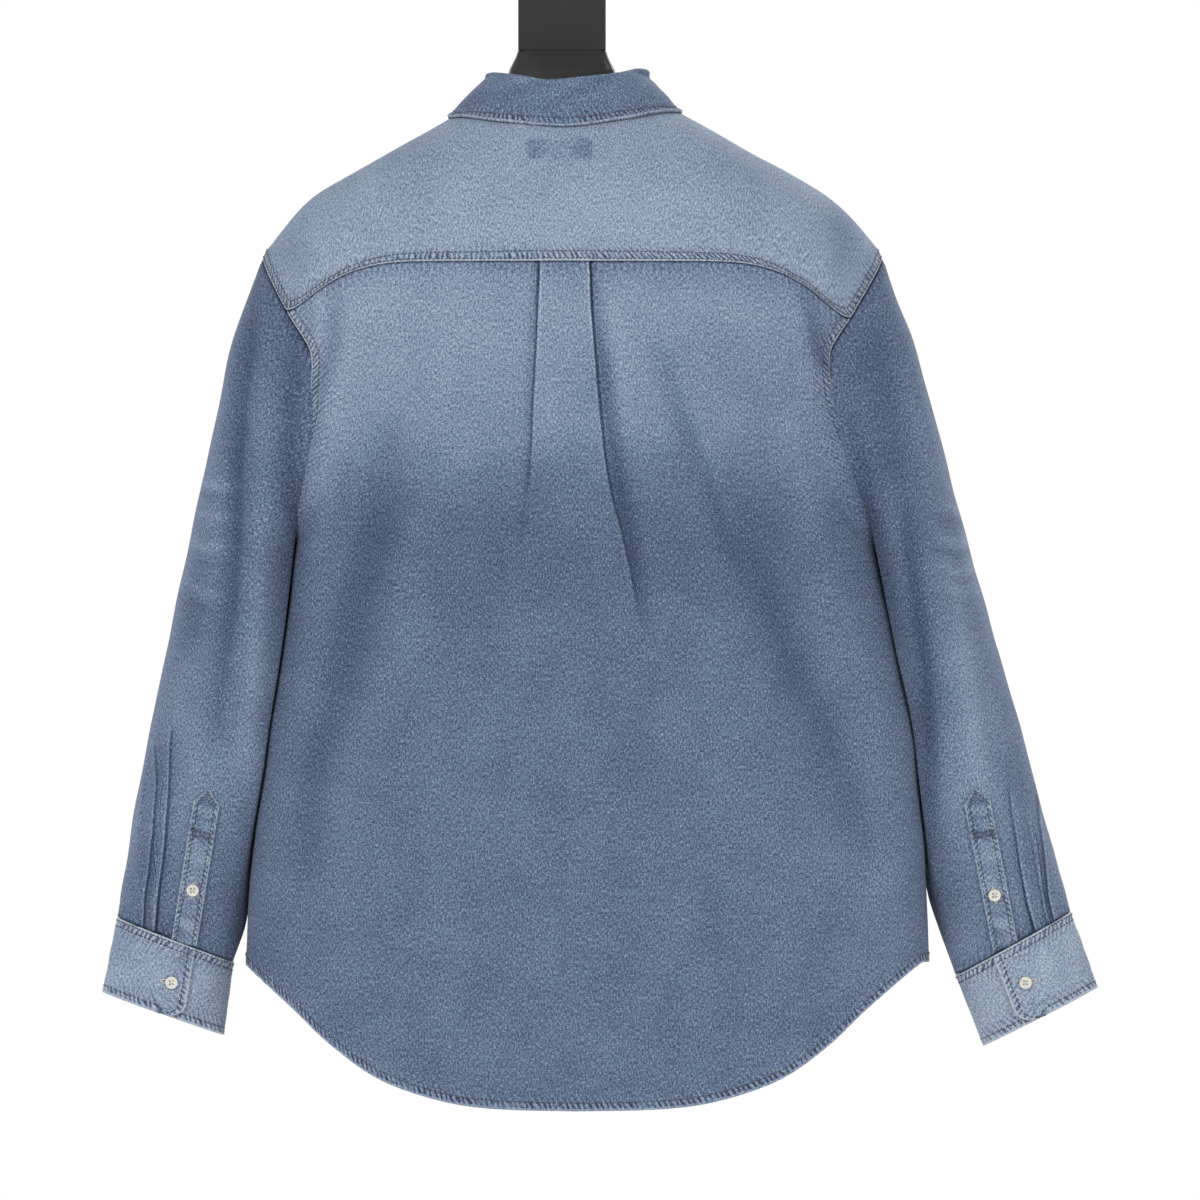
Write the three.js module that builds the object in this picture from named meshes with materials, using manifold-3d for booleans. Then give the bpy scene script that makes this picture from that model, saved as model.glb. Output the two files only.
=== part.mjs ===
// A long-sleeved denim shirt, buttoned up and hanging filled out on a moulded bust hanger.
// Millimetres, +Z up. The shirt's front faces -Y and its wearer's left is +X. The origin is the middle
// of the top end of the hanger's flat bar, where the hanger is held.
//
// The torso is one closed surface of horizontal rings, from the neck to the hem. Every body panel is a
// stretch of that surface between its seams, and the sleeves are rings from the armhole to the cuff.
// Each piece of cloth is a wall of even thickness, cut a little short of its neighbours at the seams.

import * as THREE from "three";
import Module from "manifold-3d";
import { mergeVertices } from "three/addons/utils/BufferGeometryUtils.js";

const solids = await Module();
solids.setup();

// Driving sizes
const CLOTH = 1.4;
const DOUBLED = 2.2;
const SEAM_GAP = 0.3;
const YOKE_DEPTH = 110;
const YOKE_END_DROP = 37;
const SHOULDER_Z = -248;
const UNDERARM_Z = -478;
const ARMHOLE_Y = -3;
const ARMHOLE_BACK = 61;
const ARMHOLE_FRONT = 53;
const NECK_HALF_WIDTH = 69;
const NECK_BACK = 58;
const NECK_FRONT = 68;
const HEM_BACK_Z = -926;
const HEM_FRONT_Z = -893;
const HEM_SIDE_Z = -809;
const HEM_OFF_CENTRE = -12;
const PLACKET_WIDTH = 34;
const FRONT_BUTTONS = 7;
const FRONT_BUTTON_TOP_Z = -236;
const FRONT_BUTTON_PITCH = 86;
const BUTTON_R = 5.7;
const SLEEVE_BUTTON_R = 5.0;
const BUTTON_THICK = 2.6;
const CUFF_OVERLAP = 24;
const BAR_WIDTH = 70;
const BAR_THICK = 16;
const BAR_LENGTH = 80;

const DENIM = { color: 0x5f7fa8, roughness: 0.92, metalness: 0 };
const PALE_DENIM = { color: 0x8aa3bf, roughness: 0.92, metalness: 0 };
const PEARL = { color: 0xe9e6da, roughness: 0.35, metalness: 0 };
const BLACK = { color: 0x2b2b2c, roughness: 0.75, metalness: 0 };

const { PI, abs, cos, sin, sqrt, min, max, sign, exp, asin, atan2, acos } = Math;
const clamp = (v, lo, hi) => min(hi, max(lo, v));
const lerp = (a, b, k) => a + (b - a) * k;
const smooth = (k) => {
  const c = clamp(k, 0, 1);
  return c * c * (3 - 2 * c);
};
const vec = (x, y, z) => new THREE.Vector3(x, y, z);

// A table of sections: at(v) gives every named column at v, along smooth curves through the rows.
function sections(names, rows) {
  const keys = rows.map((row) => row[0]);
  const slope = (i, c) => {
    const a = rows[max(0, i - 1)];
    const b = rows[min(rows.length - 1, i + 1)];
    return (b[c] - a[c]) / (b[0] - a[0]);
  };
  return (v) => {
    const up = keys[1] > keys[0];
    let i = 0;
    while (i < rows.length - 2 && (up ? v > keys[i + 1] : v < keys[i + 1])) i++;
    const h = keys[i + 1] - keys[i];
    const k = clamp((v - keys[i]) / h, 0, 1);
    const out = {};
    names.forEach((name, n) => {
      const c = n + 1;
      out[name] =
        (2 * k ** 3 - 3 * k ** 2 + 1) * rows[i][c] +
        (k ** 3 - 2 * k ** 2 + k) * h * slope(i, c) +
        (3 * k ** 2 - 2 * k ** 3) * rows[i + 1][c] +
        (k ** 3 - k ** 2) * h * slope(i + 1, c);
    });
    return out;
  };
}

// The torso's rings by height: half widths to the wearer's left and right, depths to the back and the
// front, the side hollow that a hanging sleeve lies in, and how square the ring is.
const torsoRing = sections(
  ["left", "right", "back", "front", "hollow", "square"],
  [
    [-118, 60, 64, 26, 22, 0, 2.0],
    [-126, 76, 81, 38, 30, 0, 2.0],
    [-136, 93, 100, 52, 38, 0, 2.0],
    [-150, 118, 126, 66, 46, 0, 2.0],
    [-165, 144, 152, 76, 54, 0, 2.0],
    [-180, 171, 180, 82, 61, 0, 2.05],
    [-200, 202, 212, 88, 69, 0, 2.1],
    [-225, 226, 238, 93, 78, 0, 2.15],
    [-250, 241, 253, 97, 86, 0, 2.2],
    [-290, 241, 251, 101, 96, 0, 2.25],
    [-326, 227, 237, 104, 103, 5, 2.3],
    [-360, 216, 229, 105, 107, 13, 2.35],
    [-400, 218, 240, 105, 109, 20, 2.4],
    [-450, 224, 254, 103, 109, 24, 2.4],
    [-500, 231, 266, 101, 108, 24, 2.4],
    [-560, 238, 278, 99, 106, 21, 2.45],
    [-620, 246, 289, 97, 104, 16, 2.5],
    [-680, 251, 291, 95, 103, 10, 2.5],
    [-740, 255, 292, 94, 102, 5, 2.5],
    [-810, 256, 292, 93, 101, 2, 2.5],
    [-930, 257, 293, 92, 100, 0, 2.5],
  ],
);
const HOLLOW_Y = -12;
const HOLLOW_REACH = 42;

// The largest soft folds, each along a bowed line from its top to its bottom as seen square on, with
// positive height standing out of the cloth.
const FOLD_COLUMNS = ["topX", "topZ", "endX", "endZ", "bow", "reach", "height"];
const BACK_FOLDS = [
  [132, -290, 244, -740, 22, 20, -6],
  [96, -300, 190, -800, 18, 26, 4],
  [176, -330, 205, -470, 4, 12, 3.5],
  [-156, -290, -262, -700, 20, 20, -6],
  [-120, -300, -215, -820, 22, 26, 4],
  [-184, -262, -228, -420, 2, 9, 5],
  [-206, -300, -226, -390, 0, 8, -4],
  [0, -560, -30, -900, 0, 70, 3],
];
const FRONT_FOLDS = [
  [128, -250, 205, -620, 16, 22, -6],
  [92, -300, 150, -800, 14, 28, 4],
  [-134, -250, -222, -640, 18, 22, -6],
  [-96, -320, -168, -820, 14, 28, 4],
  [60, -500, 84, -860, 6, 20, -4],
  [-62, -470, -92, -860, 8, 20, -4],
];
const named = (columns, rows) =>
  rows.map((row) => Object.fromEntries(columns.map((name, i) => [name, row[i]])));
const backFolds = named(FOLD_COLUMNS, BACK_FOLDS);
const frontFolds = named(FOLD_COLUMNS, FRONT_FOLDS);

function foldHeight(x, z, folds) {
  let height = 0;
  for (const f of folds) {
    const k = (z - f.topZ) / (f.endZ - f.topZ);
    if (k <= 0 || k >= 1) continue;
    const line = lerp(f.topX, f.endX, k) - sign(f.endX - f.topX) * f.bow * 4 * k * (1 - k);
    height += f.height * exp(-(((x - line) / f.reach) ** 2)) * sin(PI * k) ** 0.7;
  }
  return height;
}

const power = (v, p) => sign(v) * abs(v) ** p;

// A point of the torso surface. Angle 0 is the wearer's left side, PI / 2 the middle of the back.
function torsoPoint(angle, z) {
  const ring = torsoRing(z);
  const c = cos(angle);
  const s = sin(angle);
  const width = c >= 0 ? ring.left : ring.right;
  const depth = s >= 0 ? ring.back : ring.front;
  const x = width * power(c, 2 / ring.square);
  const y = depth * power(s, 2 / ring.square);
  const hollow = ring.hollow * exp(-(((y - HOLLOW_Y) / HOLLOW_REACH) ** 2));
  const fold = foldHeight(x, z, s >= 0 ? backFolds : frontFolds) * smooth((abs(s) - 0.35) / 0.3);
  return vec(x - sign(c) * hollow, y + sign(s) * fold, z);
}

// How far the torso reaches to one side at a depth y and a height z.
function torsoSide(side, y, z) {
  const ring = torsoRing(z);
  const width = side > 0 ? ring.left : ring.right;
  const share = (abs(y) / (y >= 0 ? ring.back : ring.front)) ** ring.square;
  if (share >= 1) return 0;
  return width * (1 - share) ** (1 / ring.square) - ring.hollow * exp(-(((y - HOLLOW_Y) / HOLLOW_REACH) ** 2));
}

// The ring angle of a point given by its depth y, on one side.
function angleAtDepth(side, y, z) {
  const ring = torsoRing(z);
  const share = clamp(abs(y) / (y >= 0 ? ring.back : ring.front), 0, 1);
  const angle = sign(y) * asin(share ** (ring.square / 2));
  return side > 0 ? angle : PI - angle;
}

// The ring angle of a point given by its x, on the back or, with face -1, on the front.
function angleAtWidth(x, z, face) {
  const ring = torsoRing(z);
  const share = clamp(abs(x) / (x >= 0 ? ring.left : ring.right), 0, 1);
  const angle = acos(share ** (ring.square / 2));
  return face * (x >= 0 ? angle : PI - angle);
}

// The height of the torso's upper surface over a point of the plan.
function torsoTop(x, y) {
  let high = -100;
  let low = -420;
  for (let i = 0; i < 40; i++) {
    const z = (high + low) / 2;
    const ring = torsoRing(z);
    const width = x >= 0 ? ring.left : ring.right;
    const depth = y >= 0 ? ring.back : ring.front;
    const inside = (abs(x) / width) ** ring.square + (abs(y) / depth) ** ring.square < 1;
    if (inside) low = z;
    else high = z;
  }
  return (high + low) / 2;
}

// Where a plan point stands on the torso's upper surface, as a ring angle and a height.
function onTorsoTop(x, y) {
  const z = torsoTop(x, y);
  const ring = torsoRing(z);
  const u = (abs(x) / (x >= 0 ? ring.left : ring.right)) ** (ring.square / 2);
  const v = (abs(y) / (y >= 0 ? ring.back : ring.front)) ** (ring.square / 2);
  return [atan2(sign(y) * v, sign(x) * u), z];
}

// The ring angle of a point on the torso
function ringAngle(p) {
  const ring = torsoRing(p.z);
  const u = (abs(p.x) / (p.x >= 0 ? ring.left : ring.right)) ** (ring.square / 2);
  const v = (abs(p.y) / (p.y >= 0 ? ring.back : ring.front)) ** (ring.square / 2);
  return atan2(sign(p.y) * v, sign(p.x) * u);
}

// Over the shoulders a point is also named by its x and its lean: the tilt, about a line along X deep
// inside the torso, at which that line sees it.
const LEAN_Z = -400;
const leanOf = (p) => atan2(p.y, p.z - LEAN_Z);

function isInside(x, y, z) {
  const ring = torsoRing(z);
  const u = abs(x) / (x >= 0 ? ring.left : ring.right);
  const v = abs(y) / (y >= 0 ? ring.back : ring.front);
  return z < -118 && u ** ring.square + v ** ring.square < 1;
}

function shoulderPoint(x, lean) {
  const inside = (r) => isInside(x, r * sin(lean), LEAN_Z + r * cos(lean));
  let far = 330;
  while (far > 60 && !inside(far)) far -= 8;
  let near = far;
  far += 8;
  for (let i = 0; i < 26; i++) {
    const r = (near + far) / 2;
    if (inside(r)) near = r;
    else far = r;
  }
  return vec(x, near * sin(lean), LEAN_Z + near * cos(lean));
}

// The line over the shoulder between two points of the torso, ending exactly at both.
function overShoulder(from, to, k) {
  const a = leanOf(from);
  const b = leanOf(to);
  const p = shoulderPoint(lerp(from.x, to.x, k), lerp(a, b, k));
  if (k < 0.5) p.addScaledVector(from.clone().sub(shoulderPoint(from.x, a)), (1 - 2 * k) ** 2);
  else p.addScaledVector(to.clone().sub(shoulderPoint(to.x, b)), (2 * k - 1) ** 2);
  return p;
}

// Seam lines of the torso. A turn of the armhole is 0 at the shoulder, PI / 2 at the back and PI at the
// underarm, and a turn of the neckline is 0 at its left and PI / 2 at the back.
const armholeMidZ = (SHOULDER_Z + UNDERARM_Z) / 2;
const armholeHalf = (SHOULDER_Z - UNDERARM_Z) / 2;

function armhole(side, turn) {
  const z = armholeMidZ + armholeHalf * cos(turn);
  const y = ARMHOLE_Y * (1 - cos(turn)) * 0.5 + sin(turn) * (sin(turn) >= 0 ? ARMHOLE_BACK : ARMHOLE_FRONT);
  return [angleAtDepth(side, y, z), z];
}
const armholePoint = (side, turn) => torsoPoint(...armhole(side, turn));

const yokeSeamZ = (x) => -141 - YOKE_DEPTH - YOKE_END_DROP * max(0, (abs(x) - 105) / 115) ** 3;

// How far the shirt-tail hem has risen towards the sides, by the distance from its middle
const hemRise = sections(
  ["rise"],
  [
    [0, 0],
    [60, 0.012],
    [100, 0.05],
    [140, 0.145],
    [168, 0.256],
    [200, 0.46],
    [226, 0.67],
    [255, 0.88],
    [272, 1],
  ],
);

function hemZ(x, face) {
  const middle = face > 0 ? HEM_BACK_Z : HEM_FRONT_Z;
  return lerp(middle, HEM_SIDE_Z, hemRise(abs(x - HEM_OFF_CENTRE)).rise);
}

// The hem height at a ring angle
function hemAt(angle, face) {
  let z = HEM_SIDE_Z;
  for (let i = 0; i < 6; i++) z = hemZ(torsoPoint(angle, z).x, face);
  return z;
}

function neckSeam(turn) {
  const depth = sin(turn) >= 0 ? NECK_BACK : NECK_FRONT;
  return torsoPoint(...onTorsoTop(NECK_HALF_WIDTH * cos(turn), depth * sin(turn)));
}
const FRONT_NECK_TURN = -0.49;
const FRONT_CORNER_TURN = -0.6;

// The yoke seam ends on the armhole: its turn there, found by halving.
function findYokeCorner(side) {
  let low = 0.2;
  let high = 1.4;
  for (let i = 0; i < 40; i++) {
    const turn = (low + high) / 2;
    const p = armholePoint(side, turn);
    if (p.z > yokeSeamZ(p.x)) low = turn;
    else high = turn;
  }
  return (low + high) / 2;
}
const yokeCornerTurn = { 1: findYokeCorner(1), "-1": findYokeCorner(-1) };

// Walls from grids of points

// Unit normals of a grid whose rows run down and columns run across.
function gridNormals(grid, closed) {
  const rows = grid.length;
  const cols = grid[0].length;
  return grid.map((row, i) =>
    row.map((_, j) => {
      const up = grid[max(0, i - 1)][j];
      const down = grid[min(rows - 1, i + 1)][j];
      const before = closed ? row[(j - 1 + cols) % cols] : row[max(0, j - 1)];
      const after = closed ? row[(j + 1) % cols] : row[min(cols - 1, j + 1)];
      return down.clone().sub(up).cross(after.clone().sub(before)).normalize();
    }),
  );
}

function solidGeometry(points, faces) {
  const geometry = new THREE.BufferGeometry();
  let volume = 0;
  for (const [a, b, c] of faces) volume += points[a].dot(points[b].clone().cross(points[c]));
  const index = faces.flatMap(([a, b, c]) => (volume < 0 ? [a, c, b] : [a, b, c]));
  const numbers = points.flatMap((p) => [p.x, p.y, p.z]);
  geometry.setAttribute("position", new THREE.Float32BufferAttribute(numbers, 3));
  geometry.setIndex(index);
  geometry.computeVertexNormals();
  return geometry;
}

// A wall whose middle is the grid, moved out by lift. Its thickness is a number or a function of the
// row and the column. Closed grids run right round, and have no side edges.
function wall(grid, thickness, { closed = false, lift = 0 } = {}) {
  const rows = grid.length;
  const cols = grid[0].length;
  const normals = gridNormals(grid, closed);
  const thick = typeof thickness === "function" ? thickness : () => thickness;
  const layer = (face) =>
    grid.flatMap((row, i) =>
      row.map((p, j) => p.clone().addScaledVector(normals[i][j], lift + (face * thick(i, j)) / 2)),
    );
  const at = (side, i, j) => side * rows * cols + i * cols + (closed ? j % cols : j);
  const faces = [];
  const quad = (a, b, c, d) => faces.push([a, b, c], [a, c, d]);
  const across = closed ? cols : cols - 1;
  for (let i = 0; i < rows - 1; i++) {
    for (let j = 0; j < across; j++) {
      quad(at(0, i, j), at(0, i + 1, j), at(0, i + 1, j + 1), at(0, i, j + 1));
      quad(at(1, i, j), at(1, i, j + 1), at(1, i + 1, j + 1), at(1, i + 1, j));
    }
    if (!closed) {
      quad(at(0, i, 0), at(1, i, 0), at(1, i + 1, 0), at(0, i + 1, 0));
      quad(at(0, i, cols - 1), at(0, i + 1, cols - 1), at(1, i + 1, cols - 1), at(1, i, cols - 1));
    }
  }
  for (let j = 0; j < across; j++) {
    quad(at(0, 0, j), at(0, 0, j + 1), at(1, 0, j + 1), at(1, 0, j));
    quad(at(0, rows - 1, j), at(1, rows - 1, j), at(1, rows - 1, j + 1), at(0, rows - 1, j + 1));
  }
  return solidGeometry([...layer(1), ...layer(-1)], faces);
}

// A solid through rings of points, with a flat fan over each end.
function ringSolid(rings) {
  const count = rings[0].length;
  const faces = [];
  for (let i = 0; i < rings.length - 1; i++) {
    for (let j = 0; j < count; j++) {
      const k = (j + 1) % count;
      const [a, b] = [i * count + j, i * count + k];
      faces.push([a, a + count, b + count], [a, b + count, b]);
    }
  }
  const last = (rings.length - 1) * count;
  for (let j = 1; j < count - 1; j++) {
    faces.push([0, j, j + 1], [last, last + j + 1, last + j]);
  }
  return solidGeometry(rings.flat(), faces);
}

const steps = (count, from = 0, to = 1) =>
  Array.from({ length: count + 1 }, (_, i) => lerp(from, to, i / count));
const inset = (length) => (SEAM_GAP * 0.6) / length;

const shirt = new THREE.Group();

function add(name, geometry, look) {
  const mesh = new THREE.Mesh(geometry, new THREE.MeshStandardMaterial(look));
  mesh.name = name;
  shirt.add(mesh);
  return mesh;
}

// How many steps each seam is cut into. Pieces that meet at a seam share its points.
const FRONT_NECK_STEPS = 6;
const SHOULDER_STEPS = 8;
const YOKE_ARM_STEPS = 5;
const FLANK_STEPS = 9;
const BOX_STEPS = 3;
const ARMHOLE_STEPS = 8;
const SKIRT_STEPS = 12;
const HEM_WIDTH = 7.5;

const armholeTurns = (side, face) =>
  steps(ARMHOLE_STEPS, face > 0 ? yokeCornerTurn[side] : -FRONT_CORNER_TURN, PI).map((t) => face * t);

// Rows of a body panel as shares of the way down from the armhole corner to the hem at the side. The
// last two rows carry the doubled hem.
function panelRows(face) {
  const zs = armholeTurns(1, face).map((turn) => armhole(1, turn)[1]);
  const share = (z) => (z - zs[0]) / (HEM_SIDE_Z - zs[0]);
  const length = zs[0] - HEM_SIDE_Z;
  const down = zs.map(share);
  const hem = HEM_WIDTH / length;
  down[0] = inset(length);
  return [...down, ...steps(SKIRT_STEPS, share(UNDERARM_Z), 1 - hem).slice(1), 1 - hem * 0.92, 1];
}
const bodyThick = (i) => (i > ARMHOLE_STEPS + SKIRT_STEPS ? DOUBLED : CLOTH);

// Back panel, with the box pleat under the middle of the yoke

// The pleat's edges and the fold under each of them, by height. Under is how far the cloth runs back
// beneath the box, and below zero the fold has opened and the cloth spreads by that much instead.
const pleat = sections(
  ["left", "right", "height", "under"],
  [
    [-251, 19.2, -19.2, 3.4, 16],
    [-320, 21, -22, 3.6, 13],
    [-390, 25, -27.5, 3.8, 8],
    [-440, 29, -32, 3.6, 2],
    [-480, 33, -39, 3.0, -6],
    [-540, 39, -53, 2.2, -16],
    [-640, 50, -70, 1.0, -30],
    [-760, 64, -84, 0.2, -44],
    [-930, 76, -96, 0, -56],
  ],
);
const PLEAT_CLOTH = 1.1;
const PLEAT_ROLL = 0.9;
const PLEAT_FLARE = 3;
const FOLDED = [
  [-1.4, 1],
  [0, 1],
  [PLEAT_ROLL, 0.76],
  [-0.3, 0.5],
  [0.9, 0.5],
  [1, 0.25],
  [0.9, 0],
  [PLEAT_FLARE, 0],
];
const OPENED = [-0.4, -0.1, 0.12, 0.3, 0.5, 0.7, 0.88, 1.1];

// Across one fold of the pleat, from the box outwards: how far past the edge, and how high
function pleatFold({ height, under }) {
  const shut = smooth(under / 6);
  const tuck = max(under, 0.5);
  const reach = [null, null, null, null, -tuck, -tuck - PLEAT_ROLL, -tuck, null];
  const spread = max(2.5, -under);
  return FOLDED.map(([away, high], i) => {
    const openAway = OPENED[i] * spread;
    const openHigh = 0.5 + 0.5 * cos(PI * clamp((OPENED[i] + 0.4) / 1.5, 0, 1));
    return [lerp(openAway, reach[i] ?? away, shut), height * lerp(openHigh, high, shut)];
  });
}

function backPoint(x, t, high = 0) {
  let z = lerp(yokeSeamZ(0), HEM_BACK_Z, t);
  for (let i = 0; i < 5; i++) z = lerp(yokeSeamZ(x), hemAt(angleAtWidth(x, z, 1), 1), t);
  const p = torsoPoint(angleAtWidth(x, z, 1), z);
  p.y += high;
  return p;
}

// The flank of the back between the side and the pleat, at a share of the way down.
function flankPoints(side, t, sideZ) {
  const middleZ = lerp(yokeSeamZ(0), HEM_BACK_Z, t);
  const p = pleat(middleZ);
  const flare = pleatFold(p)[FOLDED.length - 1][0];
  const innerX = side > 0 ? p.left + flare : p.right - flare;
  const innerAngle = angleAtWidth(innerX, middleZ, 1);
  const turn = armholeTurn(sideZ, 1);
  const edge = sideZ > UNDERARM_Z ? armhole(side, turn)[0] : side > 0 ? 0 : PI;
  return steps(FLANK_STEPS)
    .slice(0, -1)
    .map((k) => {
      const angle = lerp(edge, innerAngle, k) + (k === 0 ? side * 0.0022 : 0);
      let z = sideZ;
      for (let i = 0; i < 6; i++) {
        const x = torsoPoint(angle, z).x;
        z = lerp(yokeSeamZ(x), hemAt(angle, 1), t);
      }
      const q = torsoPoint(angle, lerp(z, sideZ, (1 - k) ** 6));
      return q;
    });
}

// The turn round the armhole at a height, on the back or, with face -1, on the front.
function armholeTurn(z, face) {
  return face * acos(clamp((z - armholeMidZ) / armholeHalf, -1, 1));
}

function backRow(t, sideZ) {
  const p = pleat(lerp(yokeSeamZ(0), HEM_BACK_Z, t));
  const fold = pleatFold(p);
  const left = fold.map(([away, high]) => backPoint(p.left + away, t, high)).reverse();
  const right = fold.map(([away, high]) => backPoint(p.right - away, t, high));
  const box = steps(BOX_STEPS)
    .slice(1, -1)
    .map((k) => backPoint(lerp(p.left - 1.4, p.right + 1.4, k), t, p.height));
  return [...flankPoints(1, t, sideZ[0]), ...left, ...box, ...right, ...flankPoints(-1, t, sideZ[1]).reverse()];
}

function backGrid() {
  const rows = panelRows(1);
  const turns = [armholeTurns(1, 1), armholeTurns(-1, 1)];
  return rows.map((t, i) => {
    const sideZ = [1, -1].map((side, n) => {
      if (i <= ARMHOLE_STEPS) return armhole(side, turns[n][i])[1] - (i === 0 ? SEAM_GAP * 0.6 : 0);
      return lerp(armhole(side, turns[n][0])[1], HEM_SIDE_Z, t);
    });
    return backRow(t, sideZ);
  });
}

// Yoke: rings round the neck, from the neckline out to the armholes and the back seam
const yokeTop = backRow(0, [armhole(1, yokeCornerTurn[1])[1], armhole(-1, yokeCornerTurn[-1])[1]]);

// The points where the back seam meets the yoke: the flanks' own, and a few across the box
function backSeamPoints() {
  const left = yokeTop.slice(0, FLANK_STEPS);
  const right = yokeTop.slice(-FLANK_STEPS);
  const box = [21, 11, 0, -11, -21].map((x) => backPoint(x, 0, pleat(-251).height));
  return [...left, ...box, ...right];
}

function yokeOuter() {
  const arm = (side) =>
    steps(YOKE_ARM_STEPS, FRONT_CORNER_TURN, yokeCornerTurn[side])
      .slice(0, -1)
      .map((turn) => armholePoint(side, turn));
  return [...arm(1), ...backSeamPoints(), ...arm(-1).reverse()];
}

const yokeTurns = steps(yokeOuter().length - 1, FRONT_NECK_TURN, PI - FRONT_NECK_TURN);

function yokeGrid() {
  const outer = yokeOuter();
  const last = outer.length - 1;
  const shares = steps(SHOULDER_STEPS);
  shares[0] = inset(150);
  shares[SHOULDER_STEPS] = 1 - inset(150);
  const columns = outer.map((to, i) => {
    const turn = yokeTurns[i] + (i === 0 ? 0.004 : i === last ? -0.004 : 0);
    const from = neckSeam(turn);
    const end = i === 0 || i === last ? to.clone().lerp(outer[i === 0 ? 1 : last - 1], 0.012) : to;
    return shares.map((k) => overShoulder(from, end, k));
  });
  return shares.map((_, k) => columns.map((column) => column[k]));
}

const frontSeam = (side, k) => {
  const turn = side > 0 ? FRONT_NECK_TURN : PI - FRONT_NECK_TURN;
  return overShoulder(neckSeam(turn), armholePoint(side, FRONT_CORNER_TURN), k);
};

// Fronts: each from the neckline and the shoulder seam down to the hem, and from the side to the placket
const FRONT_EDGE_X = 14.5;
const frontEdgeX = (side) => FRONT_EDGE_X + side * SEAM_GAP * 0.6;
const frontEdgeTurn = (side) => {
  const away = asin(frontEdgeX(side) / NECK_HALF_WIDTH);
  return side > 0 ? -PI / 2 + away : (3 * PI) / 2 + away;
};
const frontNeckTurns = (side) =>
  steps(FRONT_NECK_STEPS, frontEdgeTurn(side), side > 0 ? FRONT_NECK_TURN : PI - FRONT_NECK_TURN);

// A ring angle on the front, running on from -PI at the wearer's right side to 0 at the left.
const frontAngle = (p) => {
  const angle = ringAngle(p);
  return angle > PI / 2 ? angle - 2 * PI : angle;
};

function frontGrid(side) {
  const neck = frontNeckTurns(side).map(neckSeam);
  const shoulder = steps(SHOULDER_STEPS)
    .slice(1)
    .map((k) => frontSeam(side, k));
  const topPoints = [...neck, ...shoulder];
  const cols = topPoints.length;
  const drop = SEAM_GAP * 0.9;
  const top = topPoints.map((p) => [frontAngle(p), p.z - drop]);
  top[cols - 1][0] -= side * 0.0022;
  const edgeX = frontEdgeX(side);
  const topT = panelRows(-1);
  const turns = armholeTurns(side, -1);
  const endAngle = side > 0 ? -0.0022 : -PI + 0.0022;
  const hemZs = [hemZ(edgeX, -1), HEM_SIDE_Z];
  const inner = (t) => {
    const z = lerp(top[0][1], hemZs[0], t);
    return [-PI / 2 + (angleAtWidth(edgeX, z, -1) + PI / 2), z];
  };
  const outer = (t, i) => {
    if (i > ARMHOLE_STEPS) return [endAngle, lerp(armhole(side, turns[0])[1], HEM_SIDE_Z, t)];
    const [angle, z] = armhole(side, turns[i]);
    return [(angle > PI / 2 ? angle - 2 * PI : angle) - side * 0.0022, z - (i === 0 ? drop : 0)];
  };
  const bottomAngle = (s) => lerp(inner(1)[0], endAngle, s);
  const grid = topT.map((t, i) =>
    top.map((u, j) => {
      const s = j / (cols - 1);
      const [l, r] = [inner(t), outer(t, i)];
      const d = [bottomAngle(s), hemAt(bottomAngle(s), -1)];
      const part = (n) => {
        const ends = [inner(0)[n], outer(0, 0)[n], inner(1)[n], outer(1, 99)[n]];
        const twist = lerp(lerp(ends[0], ends[1], s), lerp(ends[2], ends[3], s), t);
        return lerp(l[n], r[n], s) + lerp(u[n], d[n], t) - twist;
      };
      return torsoPoint(part(0), part(1));
    }),
  );
  return side > 0 ? grid : grid.map((row) => row.reverse());
}

// Front placket: a doubled strip down the middle, over the edges of both fronts
const PLACKET_LIFT = CLOTH / 2 + 0.8 + DOUBLED / 2;

function placketPoint(x, t) {
  const top = neckSeam(-PI / 2 + asin(x / NECK_HALF_WIDTH)).z - 2.6;
  const z = lerp(top, hemZ(x, -1), t);
  return torsoPoint(angleAtWidth(x, z, -1), z);
}
const placketGrid = () =>
  panelRows(-1).map((t) => steps(4, -PLACKET_WIDTH / 2, PLACKET_WIDTH / 2).map((x) => placketPoint(x, t)));

// Sleeves

// The rings of each sleeve as seen square on: the outer and inner end of each ring, the depth of its
// middle and its half depth. The first ring lies on the armhole, the last on the cuff seam.
const SLEEVE_COLUMNS = ["outX", "outZ", "inX", "inZ", "y", "depth"];
const LEFT_SLEEVE = sections(SLEEVE_COLUMNS, [
  [0, 241, -248, 204, -478, -3, 57],
  [1, 262, -300, 206, -486, -4, 63],
  [2, 273, -350, 206, -500, -5, 69],
  [3, 283.5, -400, 206, -522, -6, 72],
  [4, 294, -448, 207, -552, -7, 72],
  [5, 305, -500, 210, -590, -8, 70],
  [6, 315, -546, 215, -628, -9, 67],
  [7, 325, -592, 222, -664, -10, 63],
  [8, 335, -640, 232, -700, -11, 58],
  [9, 343.5, -688, 242, -736, -12, 51],
  [10, 351, -734, 254, -774, -13, 41],
  [11, 357.6, -774, 266.4, -809.5, -14, 27],
]);
const RIGHT_SLEEVE = sections(SLEEVE_COLUMNS, [
  [0, 252.5, -248, 237, -478, -3, 57],
  [1, 273, -300, 240, -486, -4, 63],
  [2, 288, -350, 241, -500, -5, 69],
  [3, 302, -400, 243, -522, -6, 72],
  [4, 315, -448, 246, -552, -7, 72],
  [5, 329, -500, 252, -590, -8, 70],
  [6, 342, -546, 260, -628, -9, 67],
  [7, 355, -592, 268, -666, -10, 63],
  [8, 368, -640, 277, -706, -11, 58],
  [9, 381, -688, 287, -744, -12, 51],
  [10, 393, -732, 300, -783, -13, 41],
  [11, 404, -769.6, 313.6, -820, -14, 27],
]);
const sleeveTable = { 1: LEFT_SLEEVE, "-1": RIGHT_SLEEVE };
const SLEEVE_RINGS = 11;
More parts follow.
